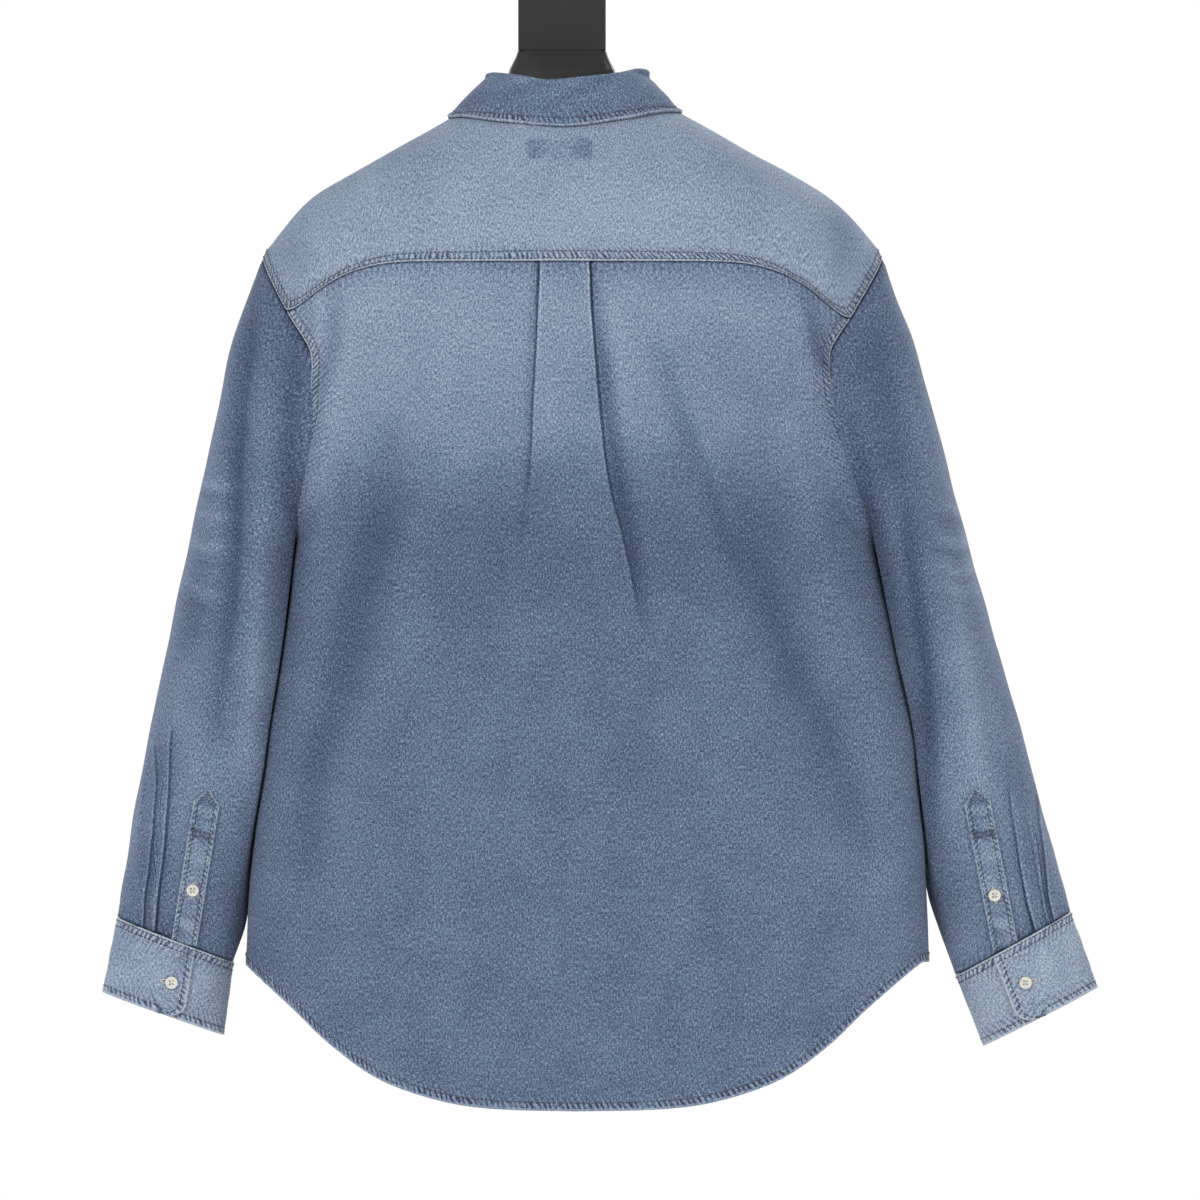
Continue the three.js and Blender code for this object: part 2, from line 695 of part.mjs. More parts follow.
const ARMHOLE_FADE = 3;
const TOUCH = CLOTH + 2.2;

// The sleeve's soft folds: where round the ring, where along it, how high, and how wide.
const SLEEVE_FOLDS = named(
  ["turn", "from", "to", "height", "reach"],
  [
    [1.0, 0.6, 8.6, -6, 0.34],
    [2.3, 1.0, 7.0, -4, 0.3],
    [-0.9, 1.0, 9.5, -6, 0.34],
    [-1.7, 5.0, 10.6, 4, 0.34],
  ],
);

// Two knife pleats run into each cuff. Their edges face the sleeve placket, and higher up they lean
// over towards the sleeve's outer edge, as do the columns of the grid there.
const PLEAT_TURNS = [0.93, 1.22];
const PLEAT_HEIGHT = 3.2;
const PLEAT_LEAN = { 1: 0.55, "-1": 0.36 };
const PLEAT_EDGE = 0.035;
const leaned = (side, turn, ring) =>
  turn -
  PLEAT_LEAN[side] *
    smooth((ring - 1) / 4) *
    smooth((SLEEVE_RINGS - ring) / 3) *
    exp(-(((turn - 1.05) / 0.75) ** 2));

function sleeveFold(side, turn, ring) {
  let height = 0;
  for (const f of SLEEVE_FOLDS) {
    const k = clamp((ring - f.from) / (f.to - f.from), 0, 1);
    height += f.height * exp(-(((turn - f.turn) / f.reach) ** 2)) * sin(PI * k) ** 0.8;
  }
  for (const base of PLEAT_TURNS) {
    const away = turn - leaned(side, base, ring);
    const rise = exp(min(0, away) / 0.24) * smooth((PLEAT_EDGE - away) / (2 * PLEAT_EDGE));
    height += PLEAT_HEIGHT * rise * smooth((ring - 7.8) / 2);
  }
  return height;
}

function smoothMax(a, b, reach) {
  const k = clamp(0.5 + (a - b) / (2 * reach), 0, 1);
  return lerp(b, a, k) + reach * k * (1 - k);
}

// A point of a sleeve: side 1 is the wearer's left, turn 0 the outer edge, PI / 2 the back, and ring
// runs from 0 at the armhole to 11 at the cuff seam.
function sleevePoint(side, turn, ring) {
  const oval = (r, high) => {
    const p = sleeveTable[side](r);
    const c = cos(turn) * (1 + high / 50);
    const s = sin(turn) * (1 + high / p.depth);
    return vec(
      side * (lerp(p.inX, p.outX, 0.5) + ((p.outX - p.inX) / 2) * c),
      p.y + p.depth * s,
      lerp(p.inZ, p.outZ, 0.5) + ((p.outZ - p.inZ) / 2) * c,
    );
  };
  const point = oval(ring, sleeveFold(side, turn, ring));
  const fade = 1 - smooth(ring / ARMHOLE_FADE);
  if (fade > 0) point.addScaledVector(armholePoint(side, turn).sub(oval(0, 0)), fade);
  const inner = 0.5 - 0.5 * cos(turn);
  const gap = lerp(SEAM_GAP + 0.4, TOUCH, inner ** 2);
  point.x += side * gap * (1 - smooth(ring / 0.6));
  if (ring < 0.01) return point;
  const reach = torsoSide(side, point.y, point.z);
  if (reach <= 0) return point;
  const slope = (reach - torsoSide(side, point.y + sign(point.y), point.z)) / 1;
  const square = min(2.2, sqrt(1 + slope ** 2));
  const away = min(TOUCH, gap + ring * 5) * square;
  point.x = side * smoothMax(side * point.x, reach + away, 2.5);
  return point;
}

const sleeveTurns = (side) => {
  const seams = [
    ...armholeTurns(side, -1).slice(1).reverse(),
    ...steps(YOKE_ARM_STEPS, FRONT_CORNER_TURN, yokeCornerTurn[side]).slice(0, -1),
    ...armholeTurns(side, 1).slice(0, -1),
  ];
  const edges = PLEAT_TURNS.flatMap((turn) => [turn - PLEAT_EDGE, turn + PLEAT_EDGE]);
  const turns = [...seams, ...edges].sort((a, b) => a - b);
  return side > 0 ? turns : turns.reverse();
};

const SLEEVE_STATIONS = [
  0, 0.35, 0.8, 1.4, 2, 2.7, 3.4, 4.1, 4.8, 5.5, 6.2, 6.9, 7.6, 8.2, 8.8, 9.4, 9.9, 10.4, 10.985,
];
const sleeveGrid = (side) =>
  SLEEVE_STATIONS.map((ring) =>
    sleeveTurns(side).map((turn) => sleevePoint(side, leaned(side, turn, ring), ring)),
  );

// Cuffs: a doubled band whose outer end laps over its start, beside the sleeve placket
const CUFF_ENDS = {
  1: { outX: 369.6, outZ: -834, inX: 274.4, inZ: -868, y: -14, depth: 25 },
  "-1": { outX: 425.6, outZ: -830.5, inX: 336, inZ: -876.5, y: -14, depth: 25 },
};
const CUFF_HEIGHT = 62;
const CUFF_CORNER = 15;
const CUFF_RADIUS = 38;

function cuffOval(side, turn, down) {
  const top = sleeveTable[side](SLEEVE_RINGS);
  const end = CUFF_ENDS[side];
  const p = Object.fromEntries(SLEEVE_COLUMNS.map((name) => [name, lerp(top[name], end[name], down)]));
  return vec(
    side * (lerp(p.inX, p.outX, 0.5) + ((p.outX - p.inX) / 2) * cos(turn)),
    p.y + p.depth * sin(turn),
    lerp(p.inZ, p.outZ, 0.5) + ((p.outZ - p.inZ) / 2) * cos(turn),
  );
}

// The outward normal of a surface of two numbers, away from its own middle.
function outward(at, u, v, middle) {
  const p = at(u, v);
  const normal = at(u + 0.01, v).sub(p).cross(at(u, v + 0.01).sub(p)).normalize();
  return normal.dot(p.clone().sub(middle)) < 0 ? normal.negate() : normal;
}

// A point of the cuff: along is the way round from the under end, and over says whether the outer lap
// is meant where the two layers lie together.
function cuffPoint(side, along, down) {
  const lap = CUFF_OVERLAP / CUFF_RADIUS;
  const full = 2 * PI + lap;
  const low = max(0, down * CUFF_HEIGHT - (CUFF_HEIGHT - CUFF_CORNER));
  const back = (CUFF_CORNER - sqrt(max(0, CUFF_CORNER ** 2 - low ** 2))) / CUFF_RADIUS;
  const turn = CUFF_LAP_TURN[side] - lap + along - back * smooth((along - (full - 0.6)) / 0.6);
  const at = (u, v) => cuffOval(side, u, v);
  const middle = at(0, down).lerp(at(PI, down), 0.5);
  const over = smooth((along - (2 * PI - 0.55)) / 0.5);
  return at(turn, down).addScaledVector(outward(at, turn, down, middle), over * (DOUBLED + 0.5));
}

function cuffGrid(side) {
  const lap = CUFF_OVERLAP / CUFF_RADIUS;
  const full = 2 * PI + lap;
  const alongs = [...steps(16, 0, 2 * PI - 0.6), ...steps(3, 2 * PI - 0.6, 2 * PI).slice(1)];
  const ends = steps(6, 2 * PI, full).slice(1);
  const downs = [0.006, 0.3, 0.6, 0.78, 0.88, 0.95, 1];
  const all = [...alongs, ...ends];
  const grid = downs.map((down) => all.map((along) => cuffPoint(side, along, down)));
  return side > 0 ? grid : grid.map((row) => row.reverse());
}

// Points of the sleeve and the cuff that stand at an x and a height on the back, as seen square on.
function locate(at, x, z, u, v) {
  for (let i = 0; i < 30; i++) {
    const p = at(u, v);
    const [pu, pv] = [at(u + 0.002, v).sub(p), at(u, v + 0.002).sub(p)].map((d) => d.divideScalar(0.002));
    const across = pu.x * pv.z - pv.x * pu.z;
    const det = abs(across) < 1 ? 1 : across;
    const [ex, ez] = [x - p.x, z - p.z];
    u = clamp(u + clamp((ex * pv.z - pv.x * ez) / det, -0.1, 0.1), 0.3, 2.9);
    v = clamp(v + clamp((pu.x * ez - ex * pu.z) / det, -0.3, 0.3), 0, SLEEVE_RINGS + 0.2);
  }
  return [u, v];
}
const onSleeve = (side, x, z) => locate((u, v) => sleevePoint(side, u, v), x, z, 1.7, 9.5);
const onCuff = (side, x, z) => locate((u, v) => cuffOval(side, u, v), x, z, 1.7, 0.5);
const ringMiddle = (side, ring) => sleevePoint(side, 0, ring).lerp(sleevePoint(side, PI, ring), 0.5);

// The lap ends beside the placket: its turn there, from where its edge is seen.
const CUFF_LAP_X = { 1: 300, "-1": -350 };
const CUFF_LAP_TURN = {};
for (const side of [1, -1]) CUFF_LAP_TURN[side] = onCuff(side, CUFF_LAP_X[side], -824)[0];

// Sleeve plackets: a pointed strip on the back of each sleeve, from its point down to the cuff
const SLEEVE_PLACKETS = {
  1: { topX: 283.5, topZ: -671, endX: 304.5, endZ: -795 },
  "-1": { topX: -326, topZ: -670, endX: -352, endZ: -798 },
};
const SLEEVE_PLACKET_WIDTH = 20;
const SLEEVE_PLACKET_LIFT = CLOTH + 0.75;

function sleevePlacketGrid(side) {
  const { topX, topZ, endX, endZ } = SLEEVE_PLACKETS[side];
  const length = Math.hypot(endX - topX, endZ - topZ);
  const [aX, aZ] = [(endX - topX) / length, (endZ - topZ) / length];
  const rows = [0, 5, 11, ...steps(7, 22, length - 1)];
  const grid = rows.map((down) => {
    const half = lerp(1, SLEEVE_PLACKET_WIDTH / 2, min(1, down / 11));
    return steps(4, -half, half).map((away) => {
      const x = topX + aX * down - aZ * away;
      const z = topZ + aZ * down + aX * away;
      const [turn, ring] = onSleeve(side, x, z);
      const at = (u, v) => sleevePoint(side, u, v);
      const safe = min(ring, SLEEVE_RINGS - 0.03);
      return at(turn, safe).addScaledVector(outward(at, turn, safe, ringMiddle(side, safe)), SLEEVE_PLACKET_LIFT);
    });
  });
  return grid.map((row) => row.reverse());
}

// Collar: a stand round the neck, and a leaf folded over it down to the shoulders
const STAND_TOP = { halfWidth: 54, back: 54, front: 62, leftZ: -104, rightZ: -101, backZ: -109, frontZ: -170 };

function standTop(turn) {
  const [c, s] = [cos(turn), sin(turn)];
  const sideZ = lerp(STAND_TOP.rightZ, STAND_TOP.leftZ, 0.5 + 0.5 * c);
  const middleZ = s >= 0 ? STAND_TOP.backZ : STAND_TOP.frontZ;
  const depth = s >= 0 ? STAND_TOP.back : STAND_TOP.front;
  return vec(STAND_TOP.halfWidth * c, depth * s, lerp(sideZ, middleZ, abs(s) ** 1.7));
}

const STAND_LAP = 0.24;
const STAND_SIT = CLOTH / 2 + SEAM_GAP + 0.6;

function standPoint(turn, k) {
  const low = neckSeam(turn);
  const high = standTop(turn);
  const rise = high.clone().sub(low).normalize();
  const p = low.clone().lerp(high, k).addScaledVector(rise, STAND_SIT * (1 - k));
  const under = smooth((turn - ((3 * PI) / 2 - STAND_LAP - 0.3)) / 0.25);
  const out = vec(cos(turn), sin(turn), 0);
  return p.addScaledVector(out, sin(PI * k) * 1.5 - under * (DOUBLED + 0.5));
}

// The stand runs from its left end at the front, round the back, to its right end under the left.
function standGrid() {
  const turns = [
    ...steps(2, -PI / 2 - STAND_LAP, frontNeckTurns(1)[0]).slice(0, -1),
    ...frontNeckTurns(1).slice(0, -1),
    ...yokeTurns,
    ...frontNeckTurns(-1).reverse().slice(1),
  ];
  return steps(3)
    .reverse()
    .map((k) => turns.map((turn) => standPoint(turn, k)));
}

// The leaf's lower edge in plan, by the turn round the neck
const leafEdge = sections(
  ["x", "y"],
  [
    [-1.47, 52, -86],
    [-1.1, 70, -72],
    [-0.65, 85, -46],
    [0, 92, -4],
    [0.6, 86, 21],
    [1.1, 52, 49],
    [PI / 2, 0, 61],
    [PI - 1.1, -51, 47],
    [PI - 0.6, -85, 18],
    [PI, -92, -4],
    [PI + 0.65, -85, -46],
    [PI + 1.1, -70, -72],
    [PI + 1.47, -52, -86],
  ],
);
const LEAF_LIFT = CLOTH / 2 + DOUBLED / 2 + 0.6;
const LEAF_BULGE = 3;

// A point moved straight out of the torso until it stands clear of it by a distance.
function clearTorso(p, distance) {
  const level = (q) => {
    const ring = torsoRing(q.z);
    const u = abs(q.x) / (q.x >= 0 ? ring.left : ring.right);
    const v = abs(q.y) / (q.y >= 0 ? ring.back : ring.front);
    return (u ** ring.square + v ** ring.square) ** (1 / ring.square) - 1;
  };
  for (let i = 0; i < 4; i++) {
    const f = level(p);
    const rise = vec(
      level(p.clone().add(vec(0.1, 0, 0))) - f,
      level(p.clone().add(vec(0, 0.1, 0))) - f,
      level(p.clone().add(vec(0, 0, 0.1))) - f,
    ).multiplyScalar(10);
    const slope = rise.length();
    const short = distance - f / slope;
    if (short < 1e-3) break;
    p.addScaledVector(rise, short / slope);
  }
  return p;
}

function leafPoint(turn, k) {
  const fold = standTop(turn);
  const { x, y } = leafEdge(turn);
  const foot = torsoPoint(...onTorsoTop(x, y));
  const toward = vec(x - fold.x, y - fold.y, 0).normalize();
  const start = fold.clone().add(vec(0, 0, SEAM_GAP + 2.6));
  const crest = fold.clone().add(vec(0, 0, 4.8)).addScaledVector(toward, 3.6);
  if (k < 0.1) return start.lerp(crest, k / 0.1);
  const run = (k - 0.1) / 0.9;
  const p = crest.lerp(foot, run).addScaledVector(toward, LEAF_BULGE * sin(PI * run) ** 0.8);
  return clearTorso(p, LEAF_LIFT + 0.4 * (1 - run));
}

const leafGrid = () =>
  [0, 0.1, 0.2, 0.36, 0.52, 0.68, 0.84, 1].map((k) =>
    steps(38, -1.47, PI + 1.47).map((turn) => leafPoint(turn, k)),
  );

// Buttons

const BUTTON_PROFILE = [
  [0, 0],
  [0.94, 0],
  [1, 0.35],
  [0.94, 1],
  [0.66, 0.7],
  [0, 0.7],
];

function addButton(name, point, normal, radius) {
  const profile = BUTTON_PROFILE.map(([x, y]) => new THREE.Vector2(x * radius, y * BUTTON_THICK));
  const mesh = add(name, new THREE.LatheGeometry(profile, 12), PEARL);
  mesh.quaternion.setFromUnitVectors(vec(0, 1, 0), normal);
  mesh.position.copy(point);
}

// Hanger: a flat bar set on a moulded bust that fills the shoulders
const HANGER_X = 2.4;
const BUST_GAP = CLOTH / 2 + 2.9;

function ovalRing(x, y, z, halfX, halfY, square, count) {
  return steps(count, 0, 2 * PI)
    .slice(0, -1)
    .map((turn) =>
      vec(x + halfX * power(cos(turn), 2 / square), y + halfY * power(sin(turn), 2 / square), z),
    );
}

// Height of the bust's upper face, under the torso's own by an even gap
function bustTop(x, y) {
  const z = torsoTop(x, y);
  const zx = torsoTop(x + 1, y) - z;
  const zy = torsoTop(x, y + 1) - z;
  return min(-122, z) - BUST_GAP * min(3.2, sqrt(1 + zx ** 2 + zy ** 2));
}

function bustSection(x) {
  const share = min(1, abs(x) / 205);
  const half = lerp(62, 34, share ** 2);
  const under = lerp(-258, -242, share ** 2);
  const ys = steps(10, half, -half);
  const upper = ys.map((y) => vec(x, y, max(bustTop(x, y), under + 8)));
  const lower = [-0.8, -0.3, 0.3, 0.8].map((k) => vec(x, half * k, under));
  return [...upper, ...lower];
}

function hangerBust() {
  const ends = steps(16, 198, -198);
  return ringSolid(ends.map((x) => bustSection(x)));
}

function hangerNeck() {
  return ringSolid([
    ovalRing(HANGER_X, 2, -BAR_LENGTH - SEAM_GAP, 35, 9, 4, 20),
    ovalRing(HANGER_X, 2, -86, 37, 14, 3.2, 20),
    ovalRing(HANGER_X, 2, -96, 42, 21, 2.6, 20),
    ovalRing(HANGER_X, 2, -110, 46, 28, 2.3, 20),
    ovalRing(HANGER_X * 0.5, 2, -126, 50, 31, 2.2, 20),
    ovalRing(0, 2, -150, 52, 30, 2.2, 20),
  ]);
}

// One solid out of two that run into each other
function joined(a, b) {
  const [first, second] = [a, b].map((geometry) => {
    const merged = mergeVertices(new THREE.BufferGeometry().copy(geometry).deleteAttribute("normal"), 1e-3);
    const mesh = { numProp: 3, vertProperties: merged.attributes.position.array };
    return new solids.Manifold(new solids.Mesh({ ...mesh, triVerts: new Uint32Array(merged.index.array) }));
  });
  const mesh = first.add(second).getMesh();
  const geometry = new THREE.BufferGeometry();
  geometry.setAttribute("position", new THREE.BufferAttribute(mesh.vertProperties, 3));
  geometry.setIndex(new THREE.BufferAttribute(mesh.triVerts, 1));
  geometry.computeVertexNormals();
  return geometry;
}

const PLEAT_COLUMNS = [FLANK_STEPS, FLANK_STEPS + 2 * FOLDED.length + BOX_STEPS - 2];
const PLEAT_ROWS = 14;
const backThick = (i, j) =>
  i < PLEAT_ROWS && j >= PLEAT_COLUMNS[0] && j < PLEAT_COLUMNS[1] ? PLEAT_CLOTH : bodyThick(i);

add("back_panel", wall(backGrid(), backThick), DENIM);
add("back_yoke", wall(yokeGrid(), CLOTH), PALE_DENIM);
add("front_left", wall(frontGrid(1), bodyThick), DENIM);
add("front_right", wall(frontGrid(-1), bodyThick), DENIM);
add("front_placket", wall(placketGrid(), DOUBLED, { lift: PLACKET_LIFT }), DENIM);

// Where the sleeve's and the cuff's buttons are seen, square on
const SLEEVE_BUTTONS = {
  1: { placketX: 296.8, placketZ: -750.4, cuffX: 314.4, cuffZ: -825.6 },
  "-1": { placketX: -342.4, placketZ: -754.4, cuffX: -368, cuffZ: -825.6 },
};

function addSleeveButtons(side, word) {
  const { placketX, placketZ, cuffX, cuffZ } = SLEEVE_BUTTONS[side];
  const [turn, ring] = onSleeve(side, placketX, placketZ);
  const sleeveAt = (u, v) => sleevePoint(side, u, v);
  const up = outward(sleeveAt, turn, ring, ringMiddle(side, ring));
  const lift = SLEEVE_PLACKET_LIFT + CLOTH / 2 + 0.5;
  addButton(`placket_button_${word}`, sleeveAt(turn, ring).addScaledVector(up, lift), up, SLEEVE_BUTTON_R);
  const [around, down] = onCuff(side, cuffX, cuffZ);
  const cuffAt = (u, v) => cuffOval(side, u, v);
  const middle = cuffAt(0, down).lerp(cuffAt(PI, down), 0.5);
  const out = outward(cuffAt, around, down, middle);
  const rise = DOUBLED * 1.5 + 0.5 + 0.5;
  addButton(`cuff_button_${word}`, cuffAt(around, down).addScaledVector(out, rise), out, SLEEVE_BUTTON_R);
}

for (const [side, word] of [
  [1, "left"],
  [-1, "right"],
]) {
  add(`sleeve_${word}`, wall(sleeveGrid(side), CLOTH, { closed: true }), DENIM);
  add(`cuff_${word}`, wall(cuffGrid(side), DOUBLED), PALE_DENIM);
  add(`sleeve_placket_${word}`, wall(sleevePlacketGrid(side), CLOTH), PALE_DENIM);
  addSleeveButtons(side, word);
}
add("collar_stand", wall(standGrid(), DOUBLED), DENIM);
add("collar_leaf", wall(leafGrid(), DOUBLED), DENIM);

for (let i = 0; i < FRONT_BUTTONS; i++) {
  const z = FRONT_BUTTON_TOP_Z - i * FRONT_BUTTON_PITCH;
  const at = (v) => torsoPoint(angleAtWidth(0, v, -1), v);
  const slope = at(z - 2).sub(at(z + 2));
  const up = vec(0, slope.z, -slope.y).normalize();
  const lift = PLACKET_LIFT + DOUBLED / 2 + 0.4;
  addButton(`front_button_${i + 1}`, at(z).addScaledVector(up, lift), up, BUTTON_R);
}
const standMiddle = standPoint(-PI / 2, 0.45);
const standUp = vec(0, -1, 0.26).normalize();
addButton("collar_button", standMiddle.addScaledVector(standUp, DOUBLED / 2 + 0.4), standUp, BUTTON_R);

const bar = new THREE.BoxGeometry(BAR_WIDTH, BAR_THICK, BAR_LENGTH);
add("hanger_bar", bar.translate(HANGER_X, 2, -BAR_LENGTH / 2), BLACK);
add("hanger_bust", joined(hangerBust(), hangerNeck()), BLACK);

export default shirt;
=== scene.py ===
import math

import bpy
import numpy as np
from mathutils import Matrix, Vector


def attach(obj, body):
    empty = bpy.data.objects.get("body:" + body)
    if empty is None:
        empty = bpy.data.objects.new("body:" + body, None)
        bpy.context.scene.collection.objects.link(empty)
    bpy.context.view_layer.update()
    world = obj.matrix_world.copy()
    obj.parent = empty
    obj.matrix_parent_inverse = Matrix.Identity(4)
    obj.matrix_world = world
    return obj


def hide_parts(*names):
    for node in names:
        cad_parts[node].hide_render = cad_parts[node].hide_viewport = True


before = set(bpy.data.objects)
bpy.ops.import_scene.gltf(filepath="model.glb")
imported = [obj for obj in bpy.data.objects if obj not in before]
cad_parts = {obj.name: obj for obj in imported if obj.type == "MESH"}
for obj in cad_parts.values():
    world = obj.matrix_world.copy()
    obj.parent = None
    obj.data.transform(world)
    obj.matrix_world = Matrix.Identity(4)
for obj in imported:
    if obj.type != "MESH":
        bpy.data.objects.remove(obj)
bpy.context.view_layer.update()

PI = math.pi

# Sizes shared with the solids
CLOTH = 1.4
DOUBLED = 2.2
SEAM_GAP = 0.3
SHOULDER_Z = -248.0
UNDERARM_Z = -478.0
ARMHOLE_Y = -3.0
ARMHOLE_BACK = 61.0
ARMHOLE_FRONT = 53.0
NECK_HALF_WIDTH = 69.0
NECK_BACK = 58.0
NECK_FRONT = 68.0
YOKE_Z = -251.0
YOKE_END_DROP = 37.0
HEM_BACK_Z = -926.0
HEM_FRONT_Z = -893.0
HEM_SIDE_Z = -809.0
HEM_OFF_CENTRE = -12.0
LEAN_Z = -400.0
FRONT_NECK_TURN = -0.49
FRONT_CORNER_TURN = -0.6
# Half the gap of the armhole and side seams, as a turn of the torso's rings
SEAM_TURN = 0.0022


def clamp01(v):
    return np.clip(v, 0.0, 1.0)


def lerp(a, b, k):
    return a + (b - a) * k


def smooth(k):
    c = clamp01(k)
    return c * c * (3 - 2 * c)


def power(v, p):
    return np.sign(v) * np.abs(v) ** p


def vec(x, y, z):
    return np.stack(np.broadcast_arrays(x, y, z), axis=-1).astype(float)


def unit(v):
    return v / np.maximum(np.linalg.norm(v, axis=-1, keepdims=True), 1e-9)


def hump(v, middle, reach):
    """1 at the middle, and falling off smoothly on both sides of it."""
    return np.exp(-(((v - middle) / reach) ** 2))


def sections(names, rows):
    """A table of sections: calling it gives every named column along smooth curves through the rows."""
    rows = np.array(rows, float)
    keys = rows[:, 0]
    way = 1 if keys[1] > keys[0] else -1
    count = len(keys)
    before = np.maximum(np.arange(count) - 1, 0)
    after = np.minimum(np.arange(count) + 1, count - 1)
    slopes = (rows[after] - rows[before]) / (keys[after] - keys[before])[:, None]

    def at(v):
        v = np.asarray(v, float)
        i = np.clip(np.searchsorted(keys * way, v * way, side="right") - 1, 0, count - 2)
        h = keys[i + 1] - keys[i]
        k = clamp01((v - keys[i]) / h)
        out = {}
        for c, name in enumerate(names, 1):
            out[name] = (
                (2 * k**3 - 3 * k**2 + 1) * rows[i, c]
                + (k**3 - 2 * k**2 + k) * h * slopes[i, c]
                + (3 * k**2 - 2 * k**3) * rows[i + 1, c]
                + (k**3 - k**2) * h * slopes[i + 1, c]
            )
        return out

    return at


# The torso's rings by height
torso_ring = sections(
    ["left", "right", "back", "front", "hollow", "square"],
    [
        [-118, 60, 64, 26, 22, 0, 2.0],
        [-126, 76, 81, 38, 30, 0, 2.0],
        [-136, 93, 100, 52, 38, 0, 2.0],
        [-150, 118, 126, 66, 46, 0, 2.0],
        [-165, 144, 152, 76, 54, 0, 2.0],
        [-180, 171, 180, 82, 61, 0, 2.05],
        [-200, 202, 212, 88, 69, 0, 2.1],
        [-225, 226, 238, 93, 78, 0, 2.15],
        [-250, 241, 253, 97, 86, 0, 2.2],
        [-290, 241, 251, 101, 96, 0, 2.25],
        [-326, 227, 237, 104, 103, 5, 2.3],
        [-360, 216, 229, 105, 107, 13, 2.35],
        [-400, 218, 240, 105, 109, 20, 2.4],
        [-450, 224, 254, 103, 109, 24, 2.4],
        [-500, 231, 266, 101, 108, 24, 2.4],
        [-560, 238, 278, 99, 106, 21, 2.45],
        [-620, 246, 289, 97, 104, 16, 2.5],
        [-680, 251, 291, 95, 103, 10, 2.5],
        [-740, 255, 292, 94, 102, 5, 2.5],
        [-810, 256, 292, 93, 101, 2, 2.5],
        [-930, 257, 293, 92, 100, 0, 2.5],
    ],
)
HOLLOW_Y = -12.0
HOLLOW_REACH = 42.0

FOLD_COLUMNS = ["top_x", "top_z", "end_x", "end_z", "bow", "reach", "height"]
BACK_FOLDS = [
    [132, -290, 244, -740, 22, 20, -6],
    [96, -300, 190, -800, 18, 26, 4],
    [176, -330, 205, -470, 4, 12, 3.5],
    [-156, -290, -262, -700, 20, 20, -6],
    [-120, -300, -215, -820, 22, 26, 4],
    [-184, -262, -228, -420, 2, 9, 5],
    [-206, -300, -226, -390, 0, 8, -4],
    [0, -560, -30, -900, 0, 70, 3],
]
FRONT_FOLDS = [
    [128, -250, 205, -620, 16, 22, -6],
    [92, -300, 150, -800, 14, 28, 4],
    [-134, -250, -222, -640, 18, 22, -6],
    [-96, -320, -168, -820, 14, 28, 4],
    [60, -500, 84, -860, 6, 20, -4],
    [-62, -470, -92, -860, 8, 20, -4],
]


def fold_height(x, z, folds):
    height = np.zeros_like(x)
    for row in folds:
        f = dict(zip(FOLD_COLUMNS, row))
        k = (z - f["top_z"]) / (f["end_z"] - f["top_z"])
        side = np.sign(f["end_x"] - f["top_x"])
        line = lerp(f["top_x"], f["end_x"], k) - side * f["bow"] * 4 * k * (1 - k)
        fade = np.sin(PI * clamp01(k)).clip(0) ** 0.7
        height = height + f["height"] * hump(x, line, f["reach"]) * fade
    return height


def ring_sizes(ring, x_side, y_side):
    width = np.where(x_side >= 0, ring["left"], ring["right"])
    depth = np.where(y_side >= 0, ring["back"], ring["front"])
    return width, depth


def hollow_of(ring, y):
    return ring["hollow"] * hump(y, HOLLOW_Y, HOLLOW_REACH)


def torso_point(angle, z):
    angle, z = np.broadcast_arrays(np.asarray(angle, float), np.asarray(z, float))
    ring = torso_ring(z)
    c, s = np.cos(angle), np.sin(angle)
    width, depth = ring_sizes(ring, c, s)
    x = width * power(c, 2 / ring["square"])
    y = depth * power(s, 2 / ring["square"])
    fold = np.where(s >= 0, fold_height(x, z, BACK_FOLDS), fold_height(x, z, FRONT_FOLDS))
    fold = fold * smooth((np.abs(s) - 0.35) / 0.3)
    return vec(x - np.sign(c) * hollow_of(ring, y), y + np.sign(s) * fold, z)


def torso_side(side, y, z):
    """How far the torso reaches to one side, and less than nothing where it is not there."""
    ring = torso_ring(z)
    width, depth = ring_sizes(ring, side, y)
    share = (np.abs(y) / depth) ** ring["square"]
    reach = width * clamp01(1 - share) ** (1 / ring["square"]) - hollow_of(ring, y)
    return np.where(share >= 1, -1.0, reach)


def angle_at_depth(side, y, z):
    ring = torso_ring(z)
    depth = ring_sizes(ring, side, y)[1]
    angle = np.sign(y) * np.arcsin(clamp01(np.abs(y) / depth) ** (ring["square"] / 2))
    return angle if side > 0 else PI - angle


def angle_at_width(x, z, face):
    ring = torso_ring(z)
    width = ring_sizes(ring, x, face)[0]
    angle = np.arccos(clamp01(np.abs(x) / width) ** (ring["square"] / 2))
    return face * np.where(x >= 0, angle, PI - angle)


def level(x, y, z):
    """Below zero inside the torso, above zero outside it."""
    ring = torso_ring(z)
    width, depth = ring_sizes(ring, x, y)
    n = ring["square"]
    return ((np.abs(x) / width) ** n + (np.abs(y) / depth) ** n) ** (1 / n) - 1


def on_torso_top(x, y):
    """The ring angle and height of the torso's upper surface over a point of the plan."""
    x, y = np.broadcast_arrays(np.asarray(x, float), np.asarray(y, float))
    high = np.full(x.shape, -100.0)
    low = np.full(x.shape, -420.0)
    for _ in range(40):
        z = (high + low) / 2
        inside = level(x, y, z) < 0
        low = np.where(inside, z, low)
        high = np.where(inside, high, z)
    z = (high + low) / 2
    return ring_angle(vec(x, y, z)), z


def ring_angle(p):
    ring = torso_ring(p[..., 2])
    width, depth = ring_sizes(ring, p[..., 0], p[..., 1])
    u = (np.abs(p[..., 0]) / width) ** (ring["square"] / 2)
    v = (np.abs(p[..., 1]) / depth) ** (ring["square"] / 2)
    return np.arctan2(np.sign(p[..., 1]) * v, np.sign(p[..., 0]) * u)


